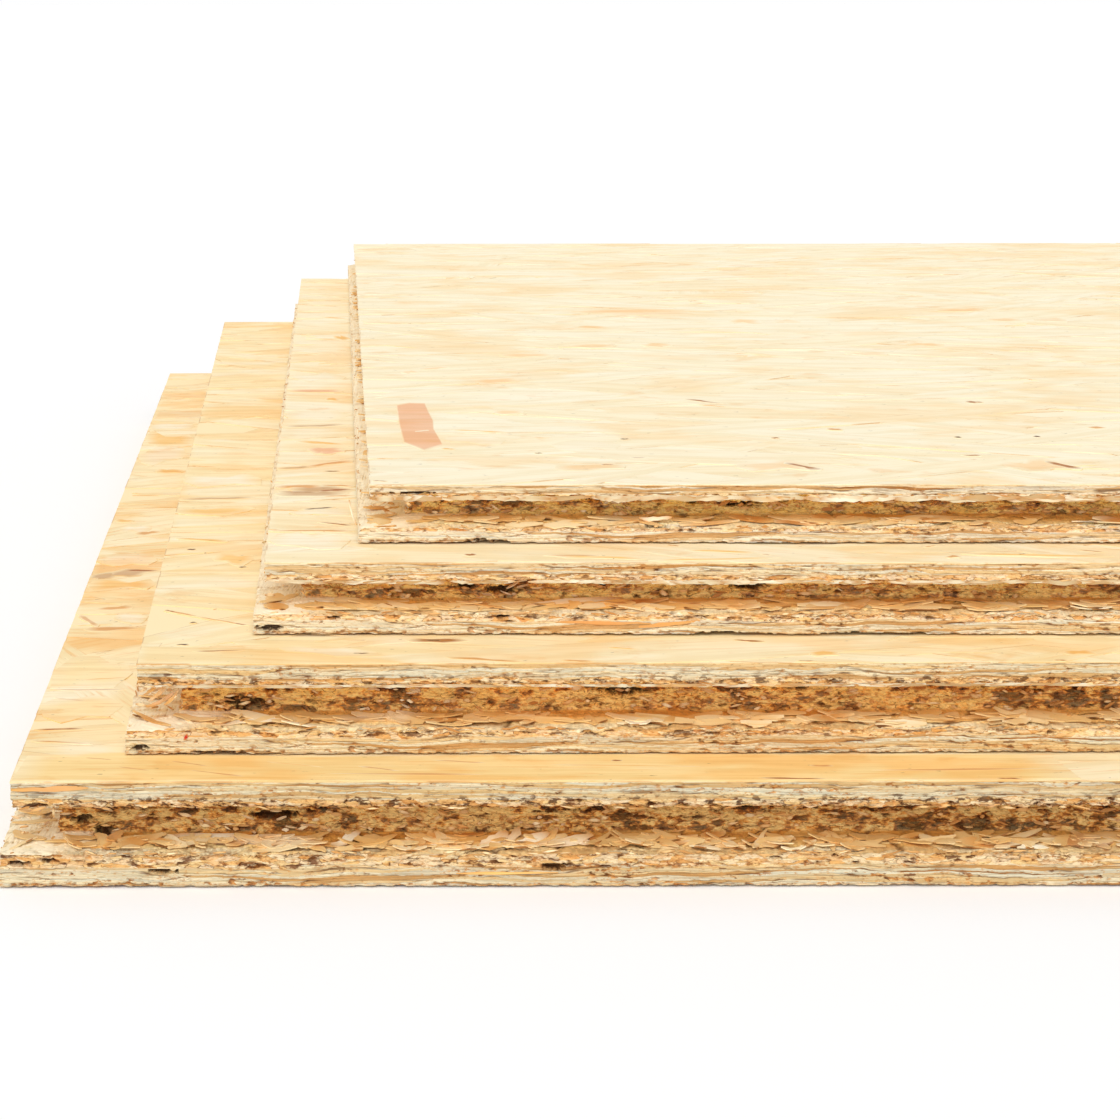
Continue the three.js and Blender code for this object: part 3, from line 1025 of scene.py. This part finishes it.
class Groove:
    """Lays flakes and fibres along one of a panel's grooves; rough runs from 0 to 1."""

    def __init__(self, strands, rng, left, rough, phase):
        panel, path = strands.panel, strands.panel.groove
        self.strands, self.rng, self.left = strands, rng, left
        self.rough, self.phase = rough, phase
        self.length, self.axes = (panel.width, LEFT_AXES) if left else (panel.length, FRONT_AXES)
        self.depth = path[:, 0].max()
        self.wall = path[path[:, 0] > self.depth - WALL_BLEND, 1]
        lips = path[path[:, 0] < SAME_PLACE]
        self.upper_lip = lips[lips[:, 0] > -1, 1].min()
        self.lower_lip = lips[(lips[:, 0] < -1) & (lips[:, 1] > 0), 1].max()
        self.slope = (self.wall.min() - self.lower_lip) / (self.depth - WALL_CORNER + LIP_STEP)

    def at(self, along, inward, height):
        return np.array([inward, along, height] if self.left else [along, inward, height])

    def places(self, fine, coarse):
        """Distances along the groove, closer together where the photograph looks."""
        place = self.rng.uniform(0, fine)
        while place < self.length - BARE_END:
            yield place
            near = place < SEEN_ALONG and not self.left
            place += self.rng.exponential(fine if near else coarse)

    def add_floor_flake(self, place):
        """A flake on the groove's floor with painted shade, and at times a crevice's dark painted
        shade beside it.
        """
        rng, rough = self.rng, self.rough
        size = (rng.uniform(5, 22 - 8 * rough), rng.uniform(1.4, 6.0 - 2.2 * rough), 0.3)
        turn = rng.normal(0, 14 + 24 * rough) + (90 if self.left else 0)
        room = (self.depth + 2.0) / 2
        reach = abs(math.sin(math.radians(turn))) * size[0] / 2 + size[1] / 2
        if reach > room:
            size = (size[0] * room / reach, size[1] * room / reach, size[2])
            reach = room
        inward = rng.uniform(-2.6 + reach, self.depth - 0.6 - reach)
        height = self.lower_lip + self.slope * (inward + LIP_STEP) + FLAKE_LIFT
        roll = math.degrees(math.atan(self.slope)) + rng.normal(0, 3 + 6 * rough)
        # painted shade deeper into the groove, with darker patches along it
        patch = 0.25 + 0.25 * math.sin(place / 6.5 + self.phase + 2 * math.sin(place / 17))
        shade = np.array(FLOOR_SHADE) ** (np.clip(inward / self.depth, 0, 1) + patch)
        own = FLAKE_TONES[rng.choice(len(FLAKE_TONES), p=FLAKE_SHARES)]
        centre = self.at(place + (2 if self.left else 12), inward, height)
        turned = self.axes @ turned_axes(turn, rng.normal(0, 1 + 4 * rough), roll)
        curl = rng.uniform(-0.35, 0.3 + 0.6 * rough)
        both = shade * own, shade * FLAKE_EDGE
        add_flake(self.strands, rng, centre, size, turned, both, 6, curl)
        if rng.random() < 0.25 + 0.4 * rough:
            beside = turned @ (rng.uniform(-0.3, 0.3) * size[0], -size[1] / 2, 0.05)
            crevice = (rng.uniform(0.2, 0.5) * size[0], rng.uniform(0.4, 0.9), 0.2)
            # a dark strip beside the flake as the crevice's painted shade
            both = one_of(rng, CREVICE_SHADE_TONES), FIBRE_EDGE
            add_flake(self.strands, rng, centre + beside, crevice, turned, both, 4)

    def add_fibre(self, place, inward, height, size, spread):
        rng = self.rng
        angles = rng.normal(0, spread), rng.normal(0, spread * 0.6), rng.uniform(0, 90)
        turned = self.axes @ turned_axes(*angles)
        both = one_of(rng, FIBRE_TONES), FIBRE_EDGE
        centre = self.at(place, inward, height)
        add_flake(self.strands, rng, centre, size, turned, both, 4)

    def add_wall_fibre(self, place):
        rng = self.rng
        size = (rng.uniform(1.0, 3.6), rng.uniform(0.35, 0.9), rng.uniform(0.25, 0.5))
        inward = self.depth - rng.uniform(-0.3, 0.8)
        height = rng.uniform(self.wall.min(), self.wall.max())
        self.add_fibre(place, inward, height, size, WALL_FIBRE_TURN)

    def add_lip_fibre(self, place):
        rng = self.rng
        upper = rng.random() < 0.15 + 0.3 * self.rough
        size = (rng.uniform(1.2, 4.0), rng.uniform(0.25, 0.6), rng.uniform(0.15, 0.3))
        inward = rng.uniform(0.0, 0.5) if upper else rng.uniform(-2.8, -1.8)
        lip, stray = (self.upper_lip, (-0.1, 0.5)) if upper else (self.lower_lip, (-0.4, 0.1))
        self.add_fibre(place, inward, lip + rng.uniform(*stray), size, LIP_FIBRE_TURN)

    def fill(self):
        fine, coarse = FLAKE_SPACING
        for add, spacing in (
            (self.add_floor_flake, (fine - 1.3 * self.rough, coarse)),
            (self.add_wall_fibre, WALL_FIBRE_SPACING),
            (self.add_lip_fibre, LIP_FIBRE_SPACING),
        ):
            for place in self.places(*spacing):
                add(place)


def torn_edges_of(panel, seed, material, rough, flaps):
    """Flakes and fibres in the grooves, and the flakes that the photograph shows one by one."""
    rng = np.random.default_rng(seed)
    strands = StrandMesh(panel)
    grooves = [Groove(strands, rng, left, rough, phase=seed) for left in (False, True)]
    for groove in grooves:
        groove.fill()
    add_fringe(strands, panel, seed + FRINGE_SEED, grooves[0].upper_lip, rough)
    lip_front = panel.groove[:, 0].min()
    for points in strands.columns["place"]:
        points[:, :2] = np.maximum(points[:, :2], lip_front)
    for centre, size, turns, curl, tone in flaps:
        add_flake(strands, rng, centre, size, turned_axes(*turns), (tone, FLAP_EDGE), 8, curl)
        points = strands.columns["place"][-1]
        points[:, 1] = np.maximum(points[:, 1], lip_front)
    return strands.build(panel.node + "_splinters", material)


# ------------ the faces' and flakes' look

RIM_TONE = srgb(188, 132, 72)
WARM_SHADE = srgb(254, 214, 148)
PALE_TONE = srgb(255, 244, 216)
STREAK_TONE = srgb(240, 180, 96)
FLECK_TONE = srgb(112, 74, 38)
FLOW = 15.0  # mm by which the tones of a face wander across it
FINE_GRAIN = 0.24  # the fine grain's share, beside the broad one


def strand_material(name, warmth):
    """A face's strands: warm and pale patches that run on from strand to strand, and grain."""
    material, nodes, base_color = new_material(name, roughness=0.6, specular=0.25)
    rest = nodes.attribute("rest", vector=True)
    place = nodes.attribute("place", vector=True)
    wander = nodes.sway(place, (60, 45, 45), FLOW)
    flow = nodes.vector("ADD", place, nodes.combine(0.0, wander, 0.0))
    patch = nodes.noise(flow, (48, 30, 9), detail=3.0, roughness=0.55)
    flame_height = 0.18 + 0.45 * warmth
    flame = nodes.patches(
        flow, (16, 11, 3), 0.56, 0.7, 0.0, flame_height, detail=4.0, roughness=0.6
    )
    flame = flame * nodes.patches(flow, (60, 40, 30), 0.44, 0.58)
    tone = Value(nodes, nodes.add("ShaderNodeAttribute", attribute_name="tone").outputs["Color"])
    warm = patch.step(0.5, 0.64, 0.0, 0.72 * warmth)
    tone = nodes.mix(warm, tone, WARM_SHADE, "RGBA", "MULTIPLY")
    tone = nodes.painted(tone, patch.step(0.32, 0.45, 0.55, 0.0), PALE_TONE)
    tone = nodes.painted(tone, flame, STREAK_TONE)
    broad = nodes.noise(rest, (40, 5.0, 1), detail=3.0)
    fine = nodes.noise(rest, (16, 0.5, 1), roughness=0.6)
    grain = broad * (1 - FINE_GRAIN) + fine * FINE_GRAIN
    shade = grain.step(0.4, 0.58, 0.985 - 0.08 * warmth, 1.01)
    tone = nodes.shaded(tone, nodes.combine(shade, shade**1.6, shade**3.0))
    lined = 1.25 * warmth - 0.32
    line = nodes.patches(rest, (26, 1.5, 1), 0.55, 0.68, 0.0, lined, detail=3.0, roughness=0.6)
    tone = nodes.painted(tone, line, STREAK_TONE)
    fleck = nodes.patches(rest, (3.2, 0.9, 1), 0.71, 0.79, 0.0, 0.75)
    tone = nodes.painted(tone, fleck, FLECK_TONE)
    broken = nodes.patches(rest, (16, 16, 1), 0.5, 0.62, 0.0, 0.55, detail=3.0)
    tone = nodes.painted(tone, nodes.attribute("rim").step(0.82, 0.97) * broken, RIM_TONE)
    nodes.feed(base_color, tone)
    return material


# ------------ stage, light and camera

SKY_STRENGTH = 0.6
SEEN_STRENGTH = 1.0  # of the white that the camera or a shine sees
SOFTBOX_STRENGTH = 2.16
SOFTBOX_FROM = (-0.3, -0.88, 0.7)
SOFTBOX_ANGLE = 70  # degrees
FLOOR_REACH = 400  # metres, so that its far edge lies on the horizon
FLOOR_DROP = 0.0005
WHITE = (1.0, 1.0, 1.0, 1.0)


def make_stage():
    corners = [(-1, -1), (1, -1), (1, 1), (-1, 1)]
    floor = mesh_object(
        "floor", [(x * FLOOR_REACH, y * FLOOR_REACH, 0) for x, y in corners], [(0, 1, 2, 3)]
    )
    floor.location.z = -FLOOR_DROP
    material, _, base_color = new_material("floor", roughness=1.0, specular=0.0)
    base_color.default_value = WHITE
    floor.data.materials.append(material)
    floor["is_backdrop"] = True


def make_light():
    """A soft light from the front left, and a sky that is plain white where it is seen."""
    world = bpy.data.worlds.new("studio")
    world.use_nodes = True
    bpy.context.scene.world = world
    nodes = Nodes(world.node_tree)
    background = world.node_tree.nodes["Background"]
    path = nodes.add("ShaderNodeLightPath")
    kinds = ("Camera", "Glossy", "Transmission")
    seen, glossy, transmitted = (Value(nodes, path.outputs[f"Is {kind} Ray"]) for kind in kinds)
    for ray in (glossy, transmitted):
        seen = nodes.math("MAXIMUM", seen, ray)
    strength = seen * SEEN_STRENGTH + (1.0 - seen) * SKY_STRENGTH
    nodes.feed(background.inputs["Strength"], strength)
    background.inputs["Color"].default_value = WHITE
    data = bpy.data.lights.new("softbox", "SUN")
    data.energy = SOFTBOX_STRENGTH
    data.angle = math.radians(SOFTBOX_ANGLE)
    lamp = new_object("softbox", data)
    lamp.rotation_euler = Vector(SOFTBOX_FROM).to_track_quat("Z", "Y").to_euler()


def make_camera(bottom, top):
    data = bpy.data.cameras.new("camera")
    data.sensor_width = SENSOR_WIDTH
    data.lens = FOCAL_PIXELS / PHOTO_SIZE * SENSOR_WIDTH
    data.shift_x = (PHOTO_SIZE / 2 - PRINCIPAL_PIXEL_X) / PHOTO_SIZE
    data.clip_start = CLIP_START
    data.clip_end = CLIP_END
    camera = new_object("camera", data)
    height = top.base + top.thickness + CAMERA_ABOVE_STACK
    camera.location = Vector((*(bottom.corner + CAMERA_FROM_CORNER), height)) * MM
    tilt = Matrix.Rotation(math.radians(90 - CAMERA_PITCH), 3, "X")
    roll = Matrix.Rotation(math.radians(CAMERA_ROLL), 3, "Z")
    camera.rotation_euler = (tilt @ roll).to_euler()
    bpy.context.scene.camera = camera


# ------------ assembly

# Each panel's palette, from the palest tone to the darkest.
PALE = colors((254, 245, 217), (254, 242, 210), (254, 240, 204), (253, 236, 196), (252, 230, 186))
FAIR = colors((254, 243, 212), (254, 239, 202), (254, 236, 192), (252, 230, 182), (250, 221, 168))
STRAW = colors((255, 241, 204), (255, 236, 190), (254, 230, 176), (252, 223, 164), (248, 212, 150))
WARM = colors((255, 241, 203), (254, 236, 191), (254, 229, 177), (252, 220, 161), (248, 207, 146))

SALMON = srgb(243, 194, 154)
BROWN = srgb(176, 112, 56)
DARK_BROWN = srgb(104, 66, 34)
MAUVE = srgb(214, 178, 134)
ORANGE = srgb(246, 196, 118)
APRICOT = srgb(253, 219, 170)
GOLD = srgb(252, 208, 134)
CREAM = srgb(255, 243, 214)
TAN = srgb(226, 170, 108)
PINK = srgb(253, 231, 194)
AMBER = srgb(254, 222, 156)
YELLOW = srgb(254, 231, 178)
DEEP_YELLOW = srgb(254, 228, 172)
RED = srgb(196, 40, 30)

# What the photograph shows at certain places, in each panel's own millimetres. A mark is a
# streak's start, end, width and tone, or a shape's outline on the top face and its tone. A pit
# is a hole's centre and reach. A flap is a torn flake's centre, size, turns (turn, tip, roll),
# curl and tone.
TOP_MARKS = [
    (84, 327, 96, 328, 9, APRICOT), (98, 373, 136, 374, 14, PINK), (37, 186, 52, 186, 14, APRICOT),
    (52, 60, 72, 60, 14, CREAM), (22, 69, 40, 69, 12, CREAM), (50, 22, 70, 28, 8, APRICOT),
    (99, 25, 120, 29, 14, APRICOT), (172, 26, 190, 30, 14, APRICOT),
    (104, 272, 112, 280, 12, APRICOT), (76, 271, 94, 275, 9, APRICOT),
    (49, 247, 69, 248, 9, APRICOT), (145, 346, 158, 346, 13, APRICOT),
    (162, 345, 173, 345, 12, APRICOT), (246, 350, 261, 350, 13, APRICOT),
    (265, 350, 278, 350, 12, APRICOT), (86, 379, 134, 380, 10, APRICOT),
    (234, 379, 256, 386, 10, APRICOT), (200, 280, 213, 275, 9, APRICOT),
    (172, 252, 188, 253, 8, APRICOT), (13, 205, 19, 208, 5, APRICOT),
    (20, 212, 30, 219, 5, APRICOT), (25, 87, 41, 82, 3, ORANGE), (39, 118, 49, 121, 6, APRICOT),
    (
        [
            (10, 134), (14, 139), (19, 138), (19.6, 120), (20.4, 104), (20, 88), (21.6, 60),
            (16, 51), (10.6, 64), (10, 95)
        ],
        SALMON,
    ),
    (13, 82, 20, 87, 2, CREAM), (20.6, 54, 25, 53, 3, ORANGE),
    (46.4, 46.4, 48.8, 46.8, 1.6, DARK_BROWN), (72, 39, 77, 40, 2, BROWN),
    (72.5, 70, 75.6, 70, 2.4, DARK_BROWN), (116, 72, 119, 72, 2.4, BROWN),
    (169, 73, 171.4, 73, 2.4, DARK_BROWN), (192, 74, 194.4, 75, 2.4, DARK_BROWN),
    (101, 146, 112, 136, 3.4, BROWN), (188, 139, 194, 139, 4, BROWN), (135, 87, 140, 87, 4, TAN),
    (212, 90, 218, 90, 4, TAN), (164, 43, 170, 43, 2, BROWN),
    (113.6, 32.5, 121.3, 19.8, 3.4, BROWN), (185, 34.5, 191.2, 21, 3.4, BROWN),
    (63, 29, 67, 28, 1.6, BROWN), (0.8, 5, 5, 3.5, 1.2, BROWN),
]
UPPER_MIDDLE_MARKS = [
    (0, 325, 22, 325, 20, CREAM), (0, 235, 23, 235, 24, CREAM), (0, 291, 21, 290, 6, SALMON),
    (14, 271, 19, 271, 7, ORANGE), (0, 211, 22, 214, 5, MAUVE), (17, 440, 23, 442, 14, ORANGE),
    (15, 506, 20, 510, 14, ORANGE), (5, 182, 21, 175, 4, ORANGE), (9, 168, 19, 163, 12, SALMON),
    (12, 160, 21, 164, 8, SALMON), (0, 132, 11, 136, 3, MAUVE), (8, 135, 23.4, 147, 4, TAN),
    (14, 128, 19.4, 128, 2, DARK_BROWN), (0, 91, 22, 93, 9, MAUVE), (4, 99, 24, 98, 11, MAUVE),
    (0, 104, 15, 102, 6, TAN), (11, 96, 23.8, 99, 4, BROWN), (1, 95, 14, 94, 2, BROWN),
    (13, 105, 23.8, 104, 3, TAN), (14, 88, 24, 89, 2, TAN), (0, 27, 22, 27, 17, CREAM),
    (5, 64, 23, 66, 8, CREAM), (8.6, 68.6, 18, 72, 1.6, DARK_BROWN), (13, 51, 23, 46, 2.4, BROWN),
    (0, 39, 23.4, 39.4, 3, TAN), (51, 8, 54, 10, 2.6, BROWN), (71, 8, 86, 8, 1.6, TAN),
    (74, 7, 97, 4.4, 3.4, GOLD), (97, 2, 131, 5.4, 3, GOLD), (104, 21, 107.6, 19.4, 1.2, BROWN),
    (108, 14.6, 126, 12, 2.4, GOLD), (126.6, 9.4, 129, 8.6, 1, BROWN),
    (170, 18, 174, 20.6, 1, TAN), (173, 5.6, 176.6, 8.4, 3, TAN), (178, 10.2, 216, 6.8, 3.4, GOLD),
    (192, 9.4, 194.6, 10, 1, BROWN), (209, 14.6, 215, 12, 1, BROWN),
]
LOWER_MIDDLE_MARKS = [
    (0, 187, 25, 194, 12, GOLD), (0, 240, 26, 246, 20, CREAM), (0, 209, 26, 212, 4, MAUVE),
    (2, 149, 18, 143, 4, ORANGE), (14, 120, 26, 118, 14, GOLD), (6, 132, 9, 132, 2, DARK_BROWN),
    (21.6, 108, 24.6, 108, 1.6, DARK_BROWN), (3.6, 56, 13, 48.4, 1.4, TAN),
    (3.8, 56, 7, 53.4, 1.2, BROWN), (12, 49, 26.4, 38.4, 1.3, TAN),
    (22, 41.6, 26, 38.8, 1.1, BROWN), (11, 42, 13, 42, 1.4, DARK_BROWN),
    (8.6, 18.7, 12, 18.7, 1.5, DARK_BROWN), (13, 12, 26, 12.6, 1.3, BROWN),
    (34, 15, 60, 7, 8, CREAM), (51.8, 9.8, 57, 9.4, 1.3, DARK_BROWN),
    (66, 22.6, 82, 21.6, 4, BROWN), (70, 23, 76, 22, 2, DARK_BROWN), (75, 6, 94, 0.4, 2.4, TAN),
    (116, 14.5, 123, 13.2, 1.6, GOLD), (148, 22, 156, 20, 2, BROWN),
    (103, 2.4, 111, 0.8, 1.6, TAN), (160, 1, 165, 0.8, 1, BROWN),
    (164.4, 7.6, 172, 9.4, 4, ORANGE), (222.6, 1, 226, 0.8, 1, BROWN),
    (227, 7.6, 235, 9.4, 4, ORANGE),
]
BOTTOM_MARKS = [
    (0, 482, 21, 483, 34, GOLD), (0, 513, 20, 513, 15, CREAM), (0, 441, 20, 441, 36, PINK),
    (9, 407, 21, 407, 9, ORANGE), (1, 309, 8, 309, 6, ORANGE), (4, 296, 15, 294, 12, CREAM),
    (10, 285, 18, 291, 5, TAN), (0, 243, 20, 243, 20, PINK), (0, 221, 8, 218, 12, MAUVE),
    (6, 226, 16, 220, 13, MAUVE), (9, 229, 22, 228, 3, BROWN), (0, 208, 22, 208, 14, GOLD),
    (5, 174, 17, 178, 4, TAN), (12, 162, 22, 165, 13, CREAM), (1, 168, 8, 152, 2, TAN),
    (4, 149, 21, 151, 5, TAN), (0, 101, 22, 99, 30, YELLOW), (0, 67, 22, 66, 24, DEEP_YELLOW),
    (0.6, 82, 22, 82, 1.4, BROWN), (3, 74, 12, 71, 1, TAN), (8, 92, 21, 95, 1, ORANGE),
    (1, 44, 14, 45, 2, BROWN), (1.4, 34, 17, 31, 1.6, TAN),
    (
        [
            (0.4, 1), (2, 22), (22, 24), (70, 20), (150, 22), (250, 21), (252, 1), (140, 0.4),
            (60, 0.6)
        ],
        AMBER,
    ),
    (14, 20, 25, 17, 0.9, TAN), (23, 12.6, 34, 8, 0.9, TAN), (36, 17, 47, 12, 1, TAN),
    (41, 9.4, 56, 3.4, 1, TAN), (60, 16, 74, 11, 1, GOLD), (82, 12, 92, 8, 0.9, TAN),
    (100, 17, 113, 14.4, 1, TAN), (74, 6, 112, 5, 1.2, TAN), (128, 13, 166, 11, 1.2, GOLD),
    (143, 16.4, 146, 16, 1.2, BROWN), (176, 2, 193, 0.8, 1.2, BROWN),
    (190, 12, 196, 11.4, 1.4, TAN), (204, 8, 246, 9, 1.4, TAN), (232, 1.4, 238, 0.8, 1.2, BROWN),
]
TOP_PITS = [
    ((75.5, -0.5, 4.4), (3.4, 2.2, 0.9)), ((12, 0, 12.5), (6, 0.6, 0.2)),
    ((29, -3, 0.3), (3.6, 1.2, 0.5)), ((34, -3, 0.2), (2.4, 1.2, 0.4)),
    ((97, 9.6, 7.6), (5, 1.4, 0.6)), ((86, 9.6, 8.4), (3, 1.4, 0.7)),
]
UPPER_MIDDLE_PITS = [
    ((51.5, 9.6, 9.3), (2.8, 1.4, 0.9)), ((61, 9.6, 8.4), (5, 1.4, 0.8)),
    ((86, 9.6, 10), (3.2, 1.4, 1)), ((124, 9.6, 9.4), (5.5, 1.4, 1)),
    ((118, -3, 0), (9, 1.2, 0.45)), ((152, -3, 0), (12, 1.2, 0.4)),
    ((60, -3, 4.4), (1.8, 1.2, 0.5)), ((17, -3, 4.2), (1.8, 1.2, 0.5)),
    ((1.4, -3, 1.6), (3.2, 1, 0.8)),
]
LOWER_MIDDLE_PITS = [
    ((26, 9.4, 9.4), (6, 1.8, 1.5)), ((0.6, -3, 1.6), (2, 1.8, 0.9)),
    ((3, 5, 14.6), (0.9, 1.6, 1.4)), ((53, 9.4, 14.4), (9, 1.8, 0.9)),
    ((41, 4, 7.2), (3.4, 2, 0.9)), ((88, 9.6, 14.2), (4.5, 1.6, 0.8)),
    ((120, 9.6, 12), (6, 1.6, 1)), ((20, -3, 0.3), (6, 1.2, 0.4)),
]
BOTTOM_PITS = [
    ((16, 9.4, 12.4), (2.6, 1.8, 1.2)), ((21, 9.4, 9.8), (2.2, 1.8, 1)),
    ((30, 9.4, 15.6), (7, 1.8, 0.7)), ((9, -3, 6.2), (1.9, 1, 0.5)), ((2, -3, 5.6), (3, 1, 0.5)),
    ((36, -3, 3.6), (3, 1, 0.5)), ((62, 9.4, 13.4), (6, 1.8, 0.9)),
    ((118, 7.4, 9.6), (2.6, 2.2, 1.2)), ((117, 1.6, 8.4), (1.5, 1.2, 1)),
    ((127, 2, 8.4), (1.8, 1, 1)), ((83, 2.2, 8.4), (1.6, 1, 1)), ((128, -3, 4.6), (2.8, 1.2, 0.8)),
]
TOP_FLAPS = [
    ((-4.6, -3, 8), (7, 1, 0.25), (8, -74, 20), 0.3, CREAM),
    ((75, 1.9, 5.3), (8.5, 1.4, 0.3), (-4, 4, 40), 0.6, CREAM),
]
UPPER_MIDDLE_FLAPS = [
    ((79, 6.4, 6.5), (26, 3, 0.35), (16, 1, 8), -0.3, CREAM),
    ((88.5, 4.4, 6.2), (17, 4.2, 0.35), (20, 1, 10), -0.4, ORANGE),
    ((98, 1.2, 5.7), (13, 3.4, 0.3), (-10, 1, 6), -0.3, CREAM),
    ((85.5, -2.94, 2.9), (24, 0.9, 0.2), (0, -1, 90), 0.2, TAN),
    ((101, -2.94, 2.6), (18, 1, 0.2), (0, 6, 90), -0.3, TAN),
]
LOWER_MIDDLE_FLAPS = [
    ((11.9, -2.95, 4.3), (1.7, 0.7, 0.15), (0, 70, 90), 0, RED),
    ((3.6, 4.6, 14.4), (5.5, 0.9, 0.4), (30, 32, 20), 0.4, ORANGE),
    ((5, 4.4, 13.2), (6, 1, 0.4), (18, 38, 40), 0.3, ORANGE),
    ((6.6, 4, 12), (5.5, 1, 0.4), (12, 30, 30), 0.3, TAN),
    ((8.4, 3.8, 12.2), (5, 0.9, 0.4), (24, 44, 10), 0.4, ORANGE),
    ((4.4, 3.2, 11), (5, 0.9, 0.4), (8, 22, 30), 0.3, TAN),
    ((30, 3.4, 6.9), (24, 3, 0.3), (12, 1, 5), -0.4, CREAM),
]
BOTTOM_FLAPS = [
    ((65, 4.4, 8.9), (24, 4.4, 0.35), (-14, 0, 6), -0.4, BROWN),
    ((50, 6.8, 9.1), (28, 2.6, 0.35), (-6, 0, 6), -0.3, CREAM),
    ((101, 3.2, 8.8), (20, 3.8, 0.35), (-6, 0, 6), -0.4, CREAM),
    ((133, 4.4, 8.9), (10, 3.4, 0.3), (-24, 2, 6), -0.3, CREAM),
    ((114, 3.6, 9), (11, 3.6, 0.3), (48, 5, 14), 0.4, CREAM),
    ((118.6, 4.6, 9.3), (10.5, 2.6, 0.3), (66, 7, -10), 0.6, PINK),
    ((122.4, 3.2, 9.1), (12, 3.4, 0.3), (34, 5, 12), 0.5, CREAM),
    ((127.4, 4.6, 9.3), (10.5, 3, 0.3), (56, 6, -8), 0.5, GOLD),
    ((132, 3, 9), (13, 3.6, 0.3), (26, 4, 10), 0.4, PINK),
    ((79, 4, 9), (11, 3, 0.3), (52, 5, 8), 0.5, CREAM),
    ((86, 3.2, 8.9), (12, 3.4, 0.3), (30, 4, -8), 0.5, GOLD),
    ((9.4, -0.05, 23.2), (18, 1.3, 0.2), (0, 2, 90), 0, TAN),
    ((117, -2.94, 3.2), (24, 0.7, 0.2), (0, 0, 90), 0.1, ORANGE),
    ((24, 5.4, 9.4), (6, 3, 0.4), (60, 4, 6), 0.5, TAN),
    ((20, 2.4, 8.6), (7, 3.4, 0.4), (-10, 3, 6), 0.2, ORANGE),
]

# From the bottom up. seen is how much of the front edge the photograph shows, in mm. warmth
# and grime run from 0 to 1.
PANELS = [
    {
        "node": "bottom_panel", "slot": "osb_bottom",
        "seen": 262, "palette": WARM, "warmth": 0.62, "grime": 1.0,
        "tint": srgb(234, 228, 212), "groove_light_tint": srgb(243, 223, 178),
        "marks": BOTTOM_MARKS, "pits": BOTTOM_PITS, "flaps": BOTTOM_FLAPS,
    },
    {
        "node": "lower_middle_panel", "slot": "osb_lower_middle",
        "seen": 245, "palette": STRAW, "warmth": 0.5, "grime": 0.62,
        "tint": srgb(241, 234, 217), "groove_light_tint": srgb(255, 236, 192),
        "marks": LOWER_MIDDLE_MARKS, "pits": LOWER_MIDDLE_PITS, "flaps": LOWER_MIDDLE_FLAPS,
    },
    {
        "node": "upper_middle_panel", "slot": "osb_upper_middle",
        "seen": 222, "palette": FAIR, "warmth": 0.45, "grime": 0.45,
        "tint": srgb(246, 241, 230), "groove_light_tint": srgb(255, 246, 214),
        "marks": UPPER_MIDDLE_MARKS, "pits": UPPER_MIDDLE_PITS, "flaps": UPPER_MIDDLE_FLAPS,
    },
    {
        "node": "top_panel", "slot": "osb_top",
        "seen": 202, "palette": PALE, "warmth": 0.4, "grime": 0.3,
        "tint": srgb(247, 242, 234), "groove_light_tint": srgb(255, 252, 226),
        "marks": TOP_MARKS, "pits": TOP_PITS, "flaps": TOP_FLAPS,
    },
]
STRAND_SEED = 100
SPLINTER_SEED = 200


def dress(number, panel, above, look, tree):
    """One panel's body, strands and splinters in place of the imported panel."""
    node, palette, grime = panel.node, look["palette"], look["grime"]
    finish = strand_material(node + "_faces", look["warmth"])
    cut = cut_material(node + "_cut", grime, look["tint"], look["groove_light_tint"])
    bed = bed_material(node + "_bed", palette)
    body = panel_body(panel, look["seen"], tree, (cut, bed), look["pits"])
    strands = face_strands(panel, above, palette, STRAND_SEED + number, finish, look["marks"])
    splinters = torn_edges_of(panel, SPLINTER_SEED + number, finish, grime, look["flaps"])
    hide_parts(node)
    for piece in (body, strands, splinters):
        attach(piece, "root")


panels = [Panel(look["node"]) for look in PANELS]
torn_edges = relief_tree()
for number, (panel, above, look) in enumerate(zip(panels, [*panels[1:], None], PANELS)):
    dress(number, panel, above, look, torn_edges)

make_stage()
make_light()
make_camera(panels[0], panels[-1])
bpy.context.scene.view_settings.view_transform = "Standard"

sizes = {"cad": cad_bounds, "visual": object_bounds()}
{name: [list(corner) for corner in box] for name, box in sizes.items()}
